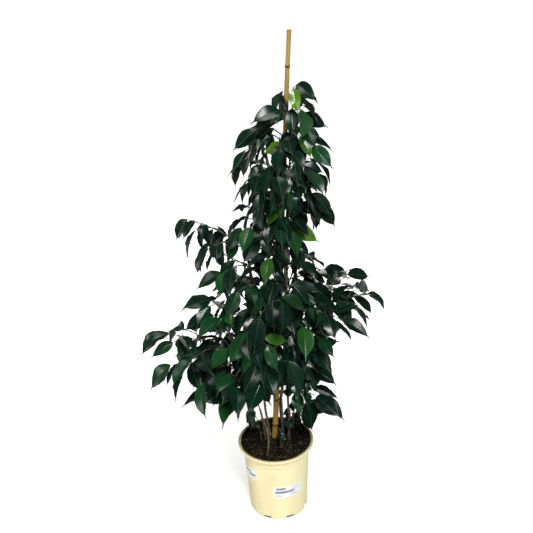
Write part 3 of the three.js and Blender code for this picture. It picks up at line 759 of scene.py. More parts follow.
def blade_mesh(leaf):
    """Points, faces and values of one blade: a closed thin body with a folded, waved and bowed surface."""
    seed = leaf["seed"]
    s = STATIONS[:, None]
    c = ACROSS[None, :]
    width = leaf["half"] * blade_width(STATIONS)[:, None]
    at, normal = midrib(leaf, STATIONS)
    sway = drawn(seed, *LEAF_DRAWS["sway"]) * leaf["length"] * np.clip(STATIONS - 0.35, 0, 1) ** 2
    curl = drawn(seed, *LEAF_DRAWS["curl"]) * leaf["length"] * np.clip(STATIONS - 0.78, 0, 1) ** 2
    at = at + leaf["right"] * sway[:, None] - normal * curl[:, None]
    full = blade_width(STATIONS)[:, None]
    lift = leaf["fold"] * width * np.abs(c) ** 1.25 * (1.15 - 0.15 * c ** 2)
    wave = leaf["wave"] * np.cos(pi * (s - LEAF["widest_at"]) / 0.3) * full * np.abs(c) ** 1.4 * np.sign(c)
    left, right = drawn(seed, *LEAF_DRAWS["left_phase"]), drawn(seed, *LEAF_DRAWS["right_phase"])
    turns = drawn(seed, *LEAF_DRAWS["ripples"]) * s + np.where(c < 0, left, right)
    ripple = drawn(seed, *LEAF_DRAWS["ripple"]) * np.sin(2 * pi * turns) * full * np.abs(c) ** 2.5
    twist = tan(radians(drawn(seed, *LEAF_DRAWS["twist"]))) * s * width * c
    height = lift + wave + ripple + twist
    middle = at[:, None, :] + leaf["right"] * (c * width)[..., None]
    middle = middle + normal[:, None, :] * height[..., None]
    thick = BLADE["thickness"] * (1 - 0.4 * np.abs(c)) * (0.6 + 0.4 * full)
    fade = np.sqrt(np.clip(1.02 - s, 0, 1))
    groove = np.where(c == 0, BLADE["groove"], 0) * fade * full
    ridge = np.where(c == 0, BLADE["ridge"], 0) * fade
    top = middle + normal[:, None, :] * (thick / 2 - groove)[..., None]
    under = middle - normal[:, None, :] * (thick / 2 + ridge)[..., None]
    rim = np.abs(ACROSS) == 1
    top[:, rim] = middle[:, rim]
    rows, columns = len(STATIONS), len(ACROSS)
    points = np.concatenate([top.reshape(-1, 3), under[:, 1:-1].reshape(-1, 3)])
    return points, BLADE_FACES, blade_values(leaf, width, rows, columns)


def blade_faces():
    rows, columns = len(STATIONS), len(ACROSS)
    first = rows * columns

    def top(r, k):
        return r * columns + k

    def under(r, k):
        return top(r, k) if k in (0, columns - 1) else first + r * (columns - 2) + k - 1

    faces = []
    for r in range(rows - 1):
        for k in range(columns - 1):
            faces.append([top(r, k), top(r, k + 1), top(r + 1, k + 1), top(r + 1, k)])
            faces.append([under(r, k), under(r + 1, k), under(r + 1, k + 1), under(r, k + 1)])
    for r, flip in ((0, False), (rows - 1, True)):
        for k in range(columns - 1):
            face = [top(r, k), under(r, k), under(r, k + 1), top(r, k + 1)]
            face = [p for i, p in enumerate(face) if p not in face[:i]]
            faces.append(face[::-1] if flip else face)
    return faces


BLADE_FACES = blade_faces()


def blade_values(leaf, width, rows, columns):
    """Across in millimetres, along as a share and which side: 0 above, 1 below and a half at the rim."""
    across = np.broadcast_to(ACROSS[None, :] * width, (rows, columns))
    along = np.broadcast_to(STATIONS[:, None], (rows, columns))
    above = np.zeros((rows, columns))
    above[:, 0] = above[:, -1] = 0.5
    top = np.stack([across, along, above], axis=-1).reshape(-1, 3)
    inner = np.stack([across, along, np.ones((rows, columns))], axis=-1)[:, 1:-1].reshape(-1, 3)
    return np.concatenate([top, inner])


def stalk_mesh(leaf):
    """The leaf's stalk, which leaves the twig its own way and runs on into the midrib."""
    root, base = leaf["root"], leaf["base"]
    reach = np.linalg.norm(base - root)
    into = base + leaf["along"] * 1.5
    a, b = root + leaf["way"] * reach * 0.4, base - leaf["along"] * reach * 0.28
    t = np.linspace(0, 1, 5)[:, None]
    path = root * (1 - t) ** 3 + a * 3 * t * (1 - t) ** 2 + b * 3 * t ** 2 * (1 - t) + into * t ** 3
    return tube(path, np.interp(t[:, 0], (0, 0.25, 1), (1.05, 0.75, 0.6)), 6)


# Brightness of the leaves: the most of usual ones, and what light ones and young ones at the twig ends add
TONE = {"most": 0.36, "power": 2.2, "light_from": 0.88, "light": 0.24, "young_from": 0.8, "young": 0.16}


def leaf_tone(leaf):
    """Brightness, hue and seed of a leaf's colour."""
    usual, lightness, extra, youth, hue, seed = (draw(leaf["seed"], channel) for channel in range(21, 27))
    tone = TONE["most"] * usual ** TONE["power"]
    if lightness > TONE["light_from"]:
        tone += TONE["light"] * extra
    if leaf["end"] and youth > TONE["young_from"]:
        tone += TONE["young"]
    return np.array([leaf.get("bright", tone), hue, seed])


def add_stem_pieces(name, grown, leaf_material, wood_material):
    blades = Mesh()
    for leaf in grown["leaves"]:
        tone = leaf_tone(leaf)
        points, faces, values = blade_mesh(leaf)
        blades.add(points, faces, blade=values, tone=tone)
        blades.add(*stalk_mesh(leaf), blade=(0, 0, 0.5), tone=tone)
    wood = Mesh()
    if name in STEMS:
        add_trunk(wood, STEMS[name])
    for twig in grown["twigs"]:
        add_twig(wood, twig)
    node = "leafy_stem_" + name if name in STEMS else None
    finish_piece(blades.build("leaves_" + name, leaf_material), node, sharp=65)
    finish_piece(wood.build("wood_" + name, wood_material), node)


def add_wood(mesh, path, radii, ages, sides):
    """A length of wood. The value of its points is its age, from 0 green to 1 old bark."""
    points, faces = tube(path, radii, sides)
    mesh.add(points, faces, wood=np.outer(np.repeat(ages, sides), (1, 0, 0)))


def drift(z, first, second):
    """A slight sideways shift that changes with the height."""
    return np.array([noise.noise(Vector((z, *first))), noise.noise(Vector((z, *second))), 0])


# Stems: depth in the soil, step from ring to ring, flare at the foot, nodes, knobbliness and sway. Flare and
# nodes have a share of the radius and a length in millimetres.
TRUNK = {"sunk": 16, "step": 6.0, "flare": (0.3, 14), "node": (0.14, 12), "node_every": 37, "knobs": 0.12,
         "sway": 1.2, "sides": 14}
TWIG = {"run": 7, "swell": (0.22, 3.5), "thinner": 0.45, "sides": 8}
BUD = {"along": (-2, 0.5, 3, 6, 9), "radii": (0.8, 1.15, 1.1, 0.65, 0.08), "age": 0.02, "sides": 6}


def add_trunk(mesh, stem):
    """A stem with a flare at its foot, nodes and a slight sway."""
    high = stem["points"][-1][0]
    first = stem_at(stem, STEM_BASE)
    slope = stem_at(stem, STEM_BASE + 1) - first
    foot, top = stem["radius"]
    path, radii, ages = [], [], []
    for z in np.arange(SOIL_TOP - TRUNK["sunk"], high + TRUNK["step"] / 2, TRUNK["step"]):
        at = stem_at(stem, z) if z >= STEM_BASE else first + slope * (z - STEM_BASE)
        share = np.clip((z - STEM_BASE) / (high - STEM_BASE), 0, 1)
        flare = TRUNK["flare"][0] * exp(-max(z - STEM_BASE, 0) / TRUNK["flare"][1])
        node = TRUNK["node"][0] * exp(-((z % TRUNK["node_every"]) - 18) ** 2 / TRUNK["node"][1])
        knobs = TRUNK["knobs"] * noise.noise(Vector((z * 0.03, foot, 3.1)))
        path.append(at + drift(z * 0.012, (7.7, at[0]), (at[1], 1.9)) * TRUNK["sway"])
        radii.append((foot + (top - foot) * share) * (0.88 + flare + node + knobs))
        ages.append(np.clip(1.15 - share * 1.2, 0, 1))
    add_wood(mesh, path, radii, ages, TRUNK["sides"])


def add_twig(mesh, twig):
    """A twig that swells where its leaves stand, with the pointed bud at its end."""
    shares = np.linspace(0, 1, max(6, int(twig["length"] / TWIG["run"])) + 1)
    nodes = [1 - k * twig["spacing"] / twig["length"] for k in range(9)]
    radii = []
    for t in shares:
        share, reach = TWIG["swell"]
        swell = sum(share * exp(-((t - n) * twig["length"] / reach) ** 2) for n in nodes)
        radii.append((twig_radius(twig, t) - TWIG["thinner"] * t) * (1 + swell))
    start_age = np.clip(1.0 - (twig["start"][2] - 250) / 1100, 0.15, 1)
    ages = start_age * (1 - shares) * 0.9 + 0.05
    add_wood(mesh, [curve_point(twig, t) for t in shares], radii, ages, TWIG["sides"])
    bud = [twig["tip"] + twig_tangent(twig, 1) * along for along in BUD["along"]]
    add_wood(mesh, bud, BUD["radii"], [BUD["age"]] * len(bud), BUD["sides"])


# Materials

class Nodes:
    """Short ways to add nodes to a tree. An input takes a number, a vector, a colour or an output."""

    def __init__(self, tree):
        self.tree = tree

    def feed(self, socket, value):
        if isinstance(value, bpy.types.NodeSocket):
            self.tree.links.new(value, socket)
        else:
            socket.default_value = (*value, 1) if socket.type == "RGBA" else value

    def node(self, kind, inputs, **settings):
        node = self.tree.nodes.new("ShaderNode" + kind)
        for key, value in settings.items():
            setattr(node, key, value)
        for key, value in inputs.items():
            self.feed(node.inputs[key], value)
        return node.outputs

    def place(self, space="Object"):
        return self.node("TexCoord", {})[space]

    def split(self, vector):
        return self.node("SeparateXYZ", {0: vector})

    def attribute(self, name):
        return self.split(self.node("Attribute", {}, attribute_name=name)["Vector"])

    def math(self, operation, a, b=0.0, clamp=False):
        return self.node("Math", {0: a, 1: b}, operation=operation, use_clamp=clamp)[0]

    def plus(self, a, b):
        return self.math("ADD", a, b)

    def times(self, a, b):
        return self.math("MULTIPLY", a, b)

    def span(self, value, low, high, to_low=0.0, to_high=1.0, kind="SMOOTHSTEP"):
        inputs = {"Value": value, "From Min": low, "From Max": high, "To Min": to_low, "To Max": to_high}
        return self.node("MapRange", inputs, interpolation_type=kind)[0]

    def noise(self, scale, detail=3.0, roughness=0.55, stretch=None):
        vector = self.place()
        if stretch:
            vector = self.node("Mapping", {"Vector": vector, "Scale": stretch})[0]
        inputs = {"Vector": vector, "Scale": scale, "Detail": detail, "Roughness": roughness}
        return self.node("TexNoise", inputs)["Fac"]

    def mix(self, factor, a, b):
        return self.node("Mix", {0: factor, 6: a, 7: b}, data_type="RGBA")[2]

    def ramp(self, factor, *stops):
        node = self.tree.nodes.new("ShaderNodeValToRGB")
        elements = node.color_ramp.elements
        while len(elements) < len(stops):
            elements.new(0.5)
        for element, (position, colour) in zip(elements, stops):
            element.position = position
            element.color = (*colour, 1)
        self.feed(node.inputs[0], factor)
        return node.outputs[0]


class Shader(Nodes):
    """The nodes of a Principled material."""

    def __init__(self, name, **constants):
        self.material = bpy.data.materials.new(name)
        self.material.use_nodes = True
        super().__init__(self.material.node_tree)
        self.set(**constants)

    def set(self, **inputs):
        for key, value in inputs.items():
            name = "Specular IOR Level" if key == "specular" else key.replace("_", " ").title()
            self.feed(self.tree.nodes["Principled BSDF"].inputs[name], value)

    def bump(self, height, distance, strength):
        inputs = {"Height": height, "Distance": distance, "Strength": strength}
        self.set(normal=self.node("Bump", inputs)[0])


def leaf_material():
    """Glossy blue-green blades, paler below, with a pale midrib and fine side veins."""
    shader = Shader("fig_leaf", specular=0.3)
    across, along, under = shader.attribute("blade")
    tone, hue, seed = shader.attribute("tone")
    distance = shader.math("ABSOLUTE", across)
    cells = shader.noise(38, 4)
    blotch = shader.times(shader.plus(shader.noise(14, 2), -0.5), 0.34)
    green = shader.ramp(
        shader.math("ADD", tone, blotch, clamp=True),
        (0.0, (0.0008, 0.0058, 0.0060)),
        (0.22, (0.0016, 0.0160, 0.0092)),
        (0.45, (0.0050, 0.0540, 0.0110)),
        (0.72, (0.0380, 0.1350, 0.0090)),
        (1.0, (0.1400, 0.2750, 0.0080)),
    )
    warm = shader.mix(shader.times(hue, 0.35), green, (0.008, 0.024, 0.006))
    veins = shader.math("SUBTRACT", shader.times(along, 13), shader.times(distance, 0.085))
    ridge = shader.math("ABSOLUTE", shader.plus(shader.math("FRACT", veins), -0.5))
    inside = shader.times(shader.span(along, 0.02, 0.1), shader.span(along, 0.84, 0.74))
    line = shader.times(shader.span(ridge, 0.40, 0.49), inside)
    rib = shader.span(distance, 0.95, 0.3)
    veined = shader.mix(shader.times(line, 0.22), warm, (0.018, 0.06, 0.02))
    ribbed = shader.mix(shader.times(rib, 0.5), veined, (0.045, 0.10, 0.035))
    mottled = shader.mix(shader.span(cells, 0.35, 0.75, 0.0, 0.3), ribbed, (0.003, 0.014, 0.010))
    below = shader.mix(0.55, mottled, (0.030, 0.060, 0.030))
    gloss = shader.plus(shader.span(cells, 0.3, 0.7, 0.12, 0.26), shader.times(seed, 0.1))
    shader.set(base_color=shader.mix(shader.span(under, 0.55, 0.95), mottled, below),
               roughness=shader.plus(gloss, shader.times(under, 0.2)))
    quilt = shader.times(shader.span(ridge, 0.0, 0.5), shader.times(inside, -1.0))
    shader.bump(shader.plus(quilt, shader.times(cells, 0.35)), 0.00035, 0.22)
    return shader.material


def wood_material():
    """Grey-brown bark with pale pores, green towards the young ends."""
    shader = Shader("fig_bark", roughness=0.62, specular=0.2)
    age, _, _ = shader.attribute("wood")
    bands = shader.noise(55, 4, stretch=(1, 1, 3.5))
    pores = shader.noise(420, 2, stretch=(1, 1, 2.2))
    bark = shader.ramp(bands, (0.3, (0.045, 0.031, 0.019)), (0.5, (0.105, 0.078, 0.045)),
                       (0.72, (0.220, 0.178, 0.108)))
    pale = shader.mix(shader.span(pores, 0.62, 0.72), bark, (0.33, 0.27, 0.19))
    green = shader.mix(shader.span(bands, 0.35, 0.7), (0.035, 0.055, 0.020), (0.080, 0.085, 0.032))
    shader.set(base_color=shader.mix(shader.span(age, 0.12, 0.55), green, pale))
    shader.bump(shader.plus(bands, shader.times(pores, 0.6)), 0.0008, 0.6)
    return shader.material


def cane_material():
    """Golden bamboo with darker streaks, warmer at its foot, with dark rings at its nodes and a split."""
    shader = Shader("bamboo", specular=0.3)
    ring, height, split = shader.attribute("cane")
    streaks = shader.noise(220, 4, 0.6, stretch=(1, 1, 0.025))
    cloud = shader.noise(16, 3, stretch=(1, 1, 0.3))
    gold = shader.ramp(cloud, (0.3, (0.200, 0.118, 0.028)), (0.5, (0.300, 0.188, 0.048)),
                       (0.7, (0.400, 0.268, 0.088)))
    warm = shader.ramp(cloud, (0.3, (0.330, 0.175, 0.034)), (0.5, (0.470, 0.270, 0.060)),
                       (0.7, (0.56, 0.36, 0.11)))
    skin = shader.mix(shader.span(height, 380, 900), warm, gold)
    lined = shader.mix(shader.span(streaks, 0.55, 0.72, 0, 0.55), skin, (0.20, 0.09, 0.025))
    cracks = shader.times(shader.span(streaks, 0.46, 0.56), split)
    cracked = shader.mix(cracks, lined, (0.035, 0.018, 0.008))
    shader.set(base_color=shader.mix(ring, cracked, (0.030, 0.016, 0.010)),
               roughness=shader.span(streaks, 0.3, 0.8, 0.34, 0.55))
    shader.bump(streaks, 0.0004, 0.5)
    return shader.material


def pot_material():
    """Pale cream-yellow moulded plastic, faintly streaked, with scuffs, soil stains and painted shade under
    the lip and in the step's crease.
    """
    shader = Shader("pot_plastic", subsurface_weight=0.12, subsurface_scale=0.004)
    flow = shader.noise(9, 3, stretch=(1, 1, 0.25))
    grain = shader.noise(900, 2)
    stain = shader.noise(24, 5, 0.6)
    fine = shader.noise(130, 3)
    grime_and_shade, _, _ = shader.attribute("pot")
    base = shader.mix(shader.span(flow, 0.3, 0.7), (0.800, 0.695, 0.395), (0.870, 0.785, 0.480))
    dirty = shader.mix(shader.span(stain, 0.60, 0.78, 0, 0.28), base, (0.42, 0.32, 0.14))
    specks = shader.mix(shader.span(fine, 0.70, 0.78, 0, 0.4), dirty, (0.28, 0.20, 0.08))
    # The pot's darkening value paints soil stains and shade, patchy by the stain noise: painted shade under
    # the lip and in the step's crease
    patchy = shader.times(grime_and_shade, shader.span(stain, 0.25, 0.6, 0.45, 1.0))
    shader.set(base_color=shader.mix(patchy, specks, (0.27, 0.20, 0.075)),
               roughness=shader.span(flow, 0.3, 0.7, 0.36, 0.5))
    shader.bump(shader.plus(shader.times(grain, 0.3), flow), 0.0006, 0.35)
    return shader.material


def soil_material(name, dark, light, pale):
    """Crumbly mix of two tones with pale specks."""
    shader = Shader(name, roughness=0.93, specular=0.08)
    coarse = shader.noise(70, 5, 0.65)
    fine = shader.noise(420, 4, 0.7)
    base = shader.mix(shader.span(coarse, 0.35, 0.7), dark, light)
    shader.set(base_color=shader.mix(shader.span(fine, 0.62, 0.74, 0, 0.7), base, pale))
    shader.bump(shader.plus(coarse, fine), 0.002, 0.8)
    return shader.material


def label_material(node):
    """White paper with plain grey bars, broken as faint marks are."""
    shader = Shader(node + "_print", roughness=0.6)
    along, up, _ = shader.attribute("label")
    paper = shader.mix(shader.noise(600, 3), (0.86, 0.87, 0.88), (0.74, 0.75, 0.78))
    ink = 0.0
    for low, high, left, right, dark in LABEL_BARS[node]:
        row = shader.times(shader.span(up, low, low + 0.03), shader.span(up, high + 0.03, high))
        reach = shader.times(shader.span(along, left, left + 0.02), shader.span(along, right + 0.02, right))
        ink = shader.math("MAXIMUM", ink, shader.times(shader.times(row, dark), reach))
    broken = shader.times(ink, shader.span(shader.noise(380, 1), 0.38, 0.6, 0.45, 1.0))
    shader.set(base_color=shader.mix(broken, paper, (0.02, 0.02, 0.03)))
    return shader.material


# Pot, soil, cane and labels

POT = {"height": 241, "rim": 120, "lip": 9, "collar": 105.5, "collar_z": 203, "shoulder": 103.5, "foot": 93,
       "wall": 2.4, "floor": 2.6, "facets": 144}
NOTCH = {"count": 8, "first": -69.4, "width": 28, "height": 10.5, "depth": 13}

# The lip's inner slope from the wall to its crest: radius, height under the crest and darkening, soil stain
# with painted shade
LIP_SLOPE = (
    (POT["collar"] - POT["wall"], 8, 0.9), (POT["collar"] - 0.6, 4.6, 0.95),
    (POT["collar"] + 1.2, 3.3, 0.95), (POT["rim"] - 9, 1.9, 0.95),
    (POT["rim"] - 5.2, 0.3, 1), (POT["rim"] - 3.4, 0, 0.75),
)


def lip_height(radius):
    radii, drops, _ = zip(*LIP_SLOPE)
    return POT["height"] - float(np.interp(radius, radii, drops))


def pot_profile():
    """Radius, height and darkening of the pot's section, soil stains and painted shade, from under its floor
    round the rim and back inside.
    """
    foot, shoulder, collar, rim = POT["foot"], POT["shoulder"], POT["collar"], POT["rim"]
    band, top, wall, inside = POT["collar_z"], POT["height"], POT["wall"], POT["floor"]
    under = top - POT["lip"]
    return [
        # The third value darkens the plastic; here it is darker round the foot's lower edge
        (0, 1.2, 0), (foot - 9, 1.2, 0), (foot - 6, 0, 0.3), (foot - 1, 0, 0.5), (foot, 0.8, 0.4),
        (foot + 0.2, 4, 0.12),
        *((foot + (shoulder - foot) * share, band * share, 0) for share in np.linspace(0.05, 0.985, 14)),
        # Painted shade in the crease under the collar's step
        (shoulder - 0.6, band - 2.4, 0.2), (shoulder - 0.9, band - 0.8, 0.7),
        (collar + 0.3, band + 0.2, 0.35), (collar + 0.6, band + 1.2, 0), (collar + 0.6, band + 12, 0),
        # Painted shade under the lip
        (collar + 0.8, under - 3.2, 0.15), (collar + 1.8, under - 1.4, 0.4), (collar + 4, under - 0.6, 0.5),
        (rim - 3, under, 0.3), (rim - 1, under + 0.4, 0.1), (rim - 0.2, under + 1.4, 0), (rim, under + 3, 0),
        # Soil stain with painted shade on the rim's inner edge and down the lip's inner slope
        (rim, top - 2.6, 0), (rim - 0.5, top - 1.2, 0), (rim - 1.6, top - 0.4, 0.45),
        *((radius, top - drop, grime_and_shade) for radius, drop, grime_and_shade in reversed(LIP_SLOPE)),
        # Soil stain inside the pot
        (collar - wall - 0.1, band + 2, 1), (shoulder - wall, band - 4, 1), (foot - wall, inside + 1, 1),
        (foot - wall - 3, inside, 1), (0, inside, 1),
    ]


def add_pot():
    """The turned shell with its notches cut out, their cut faces given a dark material as painted shade."""
    rows, facets = pot_profile(), POT["facets"]
    points = [[(0, 0, rows[0][1])]]
    points += [circle(radius, z, facets) for radius, z, _ in rows[1:-1]]
    points = np.concatenate(points + [[(0, 0, rows[-1][1])]])
    mesh = Mesh()
    mesh.add(points, axis_body_faces(len(points), facets), pot=(0, 0, 0))
    pot = mesh.build("pot_shell", pot_material())
    cutter = Mesh()
    for i in range(NOTCH["count"]):
        out = heading(NOTCH["first"] + i * 360 / NOTCH["count"])
        side = np.cross(UP, out)
        rings = []
        for z, half in ((-2, NOTCH["width"] / 2), (NOTCH["height"], NOTCH["width"] / 2 - 3)):
            rings.append([out * (POT["foot"] + reach * NOTCH["depth"]) + side * way * half + UP * z
                          for reach, way in ((-1, -1), (1, -1), (1, 1), (-1, 1))])
        cutter.add(*closed_body(rings))
    # The cutter's dark material goes onto the notches' cut faces: painted shade in the notches
    notch_shade = soil_material("notch_painted_shade", (0.05, 0.035, 0.02), (0.16, 0.12, 0.06), (0.3, 0.24, 0.12))
    blocks = cutter.build("notch_blocks", notch_shade)
    cut = pot.modifiers.new("notches", "BOOLEAN")
    cut.operation = "DIFFERENCE"
    cut.solver = "EXACT"
    cut.material_mode = "TRANSFER"
    cut.object = blocks
    bpy.context.view_layer.objects.active = pot
    bpy.ops.object.modifier_apply(modifier=cut.name)
    bpy.data.objects.remove(blocks)
    stain_and_shade_pot(pot)
    pot.data.shade_smooth()
    finish_piece(pot, "pot", sharp=38)


def stain_and_shade_pot(pot):
    """Gives each point of the cut pot the darkening of the profile's row next to it: soil stains and painted
    shade.
    """
    rows = np.array(pot_profile())
    grime_and_shade = []
    for vertex in pot.data.vertices:
        x, y, z = vertex.co / MM
        apart = np.hypot(rows[:, 0] - hypot(x, y), rows[:, 1] - z)
        grime_and_shade += [rows[np.argmin(apart), 2], 0, 0]
    pot.data.attributes["pot"].data.foreach_set("vector", grime_and_shade)


def soil_height(x, y):
    lumps = 3.2 * sin(x * 0.061 + 1.2) * cos(y * 0.052) + 2.4 * sin(x * 0.11 - y * 0.13)
    heap = HEAP["height"] * exp(-(hypot(x - HEAP["x"], y - HEAP["y"]) / HEAP["radius"]) ** 4)
    rough = 2.6 * noise.fractal(Vector((x * 0.09, y * 0.09, 0.4)), 0.9, 2.2, 4)
    return SOIL_TOP + lumps + heap + rough


# The soil's edge in the pot, and how it is spread over the lip's slope: where it rises from the heap's
# surface to the lip's, its ragged edge and its least thickness
SOIL_EDGE = 102.4
SPREAD = {"from": 93, "to": 104, "edge": 112.4, "ragged": 1.9, "cover": 1.2, "sunk": 0.5}

# The soil's body under that, down the wall to the pot's floor: radius and height
SOIL_BODY = ((SOIL_EDGE, 226), (SOIL_EDGE, 205), (90, 2.7))


def spread_edge(angle):
    """How far out the soil reaches in a direction."""
    ragged = noise.fractal(Vector((3.1 * cos(angle), 3.1 * sin(angle), 5.2)), 0.8, 2.1, 4)
    return SPREAD["edge"] + SPREAD["ragged"] * ragged


def surface_height(x, y):
    """Height of the soil with what lies on the lip."""
    radius = hypot(x, y)
    if radius < SPREAD["from"]:
        return soil_height(x, y)
    edge = spread_edge(atan2(y, x))
    thick = SPREAD["cover"] * min(max((edge - radius) / 3, 0), 1) ** 0.5
    rough = 0.9 * noise.noise(Vector((x * 0.35, y * 0.35, 2.7)))
    share = min((radius - SPREAD["from"]) / (SPREAD["to"] - SPREAD["from"]), 1)
    share = share * share * (3 - 2 * share)
    on_lip = lip_height(radius) + thick + rough * thick
    return soil_height(x, y) * (1 - share) + on_lip * share


def add_soil():
    """The soil with its lumpy surface."""
    rings, facets = 64, 190
    points = [[0, 0, surface_height(0, 0)]]
    for r in range(1, rings + 1):
        for i in range(facets):
            angle = (i + 0.5 * (r % 2)) * 2 * pi / facets
            radius = spread_edge(angle) * r / rings
            x, y = radius * cos(angle), radius * sin(angle)
            points.append([x, y, surface_height(x, y) - (SPREAD["sunk"] if r == rings else 0)])
    on_slope = SOIL_EDGE + 2
    for radius, z in ((on_slope, lip_height(on_slope) - 1), *SOIL_BODY):
        points += circle(radius, z, facets).tolist()
    points.append([0, 0, SOIL_BODY[-1][1]])
    mesh = Mesh()
    mesh.add(np.array(points, float), axis_body_faces(len(points), facets, upwards=False))
    peat = soil_material("peat", (0.004, 0.0032, 0.0026), (0.013, 0.010, 0.007), (0.075, 0.055, 0.028))
    finish_piece(mesh.build("soil_mix", peat), "soil")


def on_soil(rng, inset=1.5):
    angle = rng.random() * 2 * pi
    radius = (spread_edge(angle) - inset) * sqrt(rng.random())
    return radius * cos(angle), radius * sin(angle)


def on_heap(rng):
    angle = rng.random() * 2 * pi
    radius = HEAP["radius"] * rng.random()
    return HEAP["x"] + radius * cos(angle), HEAP["y"] + radius * sin(angle)


def chip(rng, size, flat):
    """A rough lump: a box of jittered corners with its edges cut by a middle ring."""
    rings = []
    for level, reach in ((-1, 0.72), (-0.2, 1.0), (1, 0.62)):
        ring = []
        for i in range(6):
            angle = i * pi / 3 + rng.uniform(-0.3, 0.3)
            jitter = size * reach * rng.uniform(0.75, 1.15)
            z = size * flat * (level + rng.uniform(-0.3, 0.3))
            ring.append([jitter * cos(angle), 0.62 * jitter * sin(angle), z])
        rings.append(ring)
    points, faces = closed_body(rings)
    turn = Matrix.Rotation(rng.uniform(0, 6.28), 3, "Z") @ Matrix.Rotation(rng.uniform(-0.6, 0.6), 3, "X")
    turn = np.array(turn @ Matrix.Rotation(rng.uniform(-0.5, 0.5), 3, "Y"))
    return points @ turn.T, faces


# Bits on the soil: name, number, least and largest half size, flatness and material colours
SOIL_BITS = (
    ("crumbs_dark", 1100, 1.0, 3.2, 0.7,
     ((0.004, 0.0035, 0.0025), (0.014, 0.012, 0.008), (0.040, 0.032, 0.018))),
    ("bark_brown", 230, 1.4, 4.8, 0.4,
     ((0.018, 0.013, 0.007), (0.050, 0.038, 0.018), (0.13, 0.105, 0.05))),
    ("bark_tan", 300, 0.7, 2.4, 0.4,
     ((0.10, 0.082, 0.038), (0.22, 0.185, 0.09), (0.40, 0.35, 0.20))),
    ("moss_crumbs", 300, 0.8, 2.4, 0.7,
     ((0.020, 0.026, 0.008), (0.055, 0.060, 0.020), (0.15, 0.15, 0.06))),
    ("grit_pale", 90, 0.5, 1.4, 0.7,
     ((0.30, 0.26, 0.17), (0.50, 0.45, 0.32), (0.62, 0.58, 0.46))),
)
FIBRES = {"count": 120, "inset": 14, "lengths": (6, 24), "bend": 5, "radii": (0.25, 0.6), "lift": 0.5}


def add_soil_bits():
    """Crumbs, bark, moss, half of it on the heap, and grit, with root fibres over them."""
    rng = random.Random(11)
    for name, count, least, largest, flat, colours in SOIL_BITS:
        mesh = Mesh()
        for k in range(count):
            x, y = on_heap(rng) if name == "moss_crumbs" and k % 2 else on_soil(rng)
            size = least + (largest - least) * rng.random() ** 2
            points, faces = chip(rng, size, flat)
            rise = size * flat * rng.uniform(0.1, 0.7)
            mesh.add(points + (x, y, surface_height(x, y) + rise), faces)
        finish_piece(mesh.build(name, soil_material(name, *colours), smooth=False))
    mesh = Mesh()
    for _ in range(FIBRES["count"]):
        x, y = on_soil(rng, FIBRES["inset"])
        way = heading(rng.uniform(0, 360))
        bend = turned(way, UP, pi / 2) * rng.uniform(-FIBRES["bend"], FIBRES["bend"])
        length = rng.uniform(*FIBRES["lengths"])
        path = []
        for t in np.linspace(-0.5, 0.5, 7):
            at = np.array([x, y, 0]) + way * length * t + bend * (0.25 - t * t) * 2
            at[2] = surface_height(at[0], at[1]) + FIBRES["lift"] + rng.uniform(0, 1.2)
            path.append(at)
        mesh.add(*tube(path, rng.uniform(*FIBRES["radii"]), 5))
    fibre = soil_material("root_fibre", (0.09, 0.06, 0.028), (0.20, 0.15, 0.075), (0.34, 0.28, 0.15))
    finish_piece(mesh.build("soil_fibres", fibre))


def cane_radius(z):
    share = (z - CANE["foot"]) / (CANE["top"] - CANE["foot"])
    return CANE["foot_radius"] + (CANE["top_radius"] - CANE["foot_radius"]) * share


# The cane's section near a node: height from it, added radius and how dark its ring is
NODE_ROWS = (
    (-11, 0, 0), (-6, -0.2, 0.05), (-3.4, 0.1, 0.3), (-2.2, 0.7, 0.75), (-1.0, 0.3, 1), (0.4, 0.2, 1),
    (1.2, 1.1, 0.5), (2.6, 1.3, 0.25), (4.2, 1.0, 0.4), (5.4, 0.3, 0.2), (7.5, -0.3, 0), (12, 0, 0),
)

# The heights between which it is split, its skin's thickness, and its bends: heights and shifts sideways
SPLIT = (1238, 1272)
CANE_BARK = 0.5
CANE_KINK = ((900, 1190, 1362, 1451), (0, 1, 1.4, 2.8))


def add_cane():
    """The cane from inside the soil to its open top."""
    low, high = SOIL_TOP - 22, CANE["top"]
    rows = [(node + dz, extra, dark) for node in CANE["nodes"] for dz, extra, dark in NODE_ROWS]
    rows += [(z, 0, 0) for z in np.arange(low, high - 4, 12) if all(abs(z - n) > 12 for n in CANE["nodes"])]
    rows = sorted(rows + [(high - 1, 0, 0.1), (high, -0.5, 0.25)])
    sections = []
    for z, extra, dark in rows:
        sections.append((z, cane_radius(z) + CANE_BARK + extra, dark, 0 if extra else 0.05))
    for depth, inset in ((0, 2.1), (CANE["hollow"], 2.5)):
        sections.append((high - depth, cane_radius(high) - inset, 0.7, 0))
    sides = 28
    angles = np.arange(sides) * 2 * pi / sides
    groove_shape = np.exp(-((angles - 4.4) / 0.35) ** 2)
    start, end = SPLIT
    rings, values = [], []
    for z, radius, dark, groove in sections:
        around = radius * (1 + 0.02 * np.cos(2 * angles + z * 0.002) - groove * groove_shape)
        shift = drift(z * 0.006, (3.3, 0), (0, 8.1)) + (np.interp(z, *CANE_KINK), 0, 0)
        rings.append(cane_centre(z) + circle(around, 0, sides) + shift * 0.9)
        split = np.interp(z, (start - 6, start + 4, end - 4, end + 6), (0.15, 1, 1, 0.15))
        values += [[dark, z, split]] * sides
    mesh = Mesh()
    mesh.add(*closed_body(rings), cane=values)
    finish_piece(mesh.build("cane", cane_material()), "bamboo_cane")


# Labels: node, first and last heading, low and high edge and the rise from left to right
LABELS = (("label_front", 260, 315, 90, 132, -3), ("label_side", 189, 229, 127, 168, 14))
LABEL_GAP = 0.35
LABEL_PAPER = 0.5

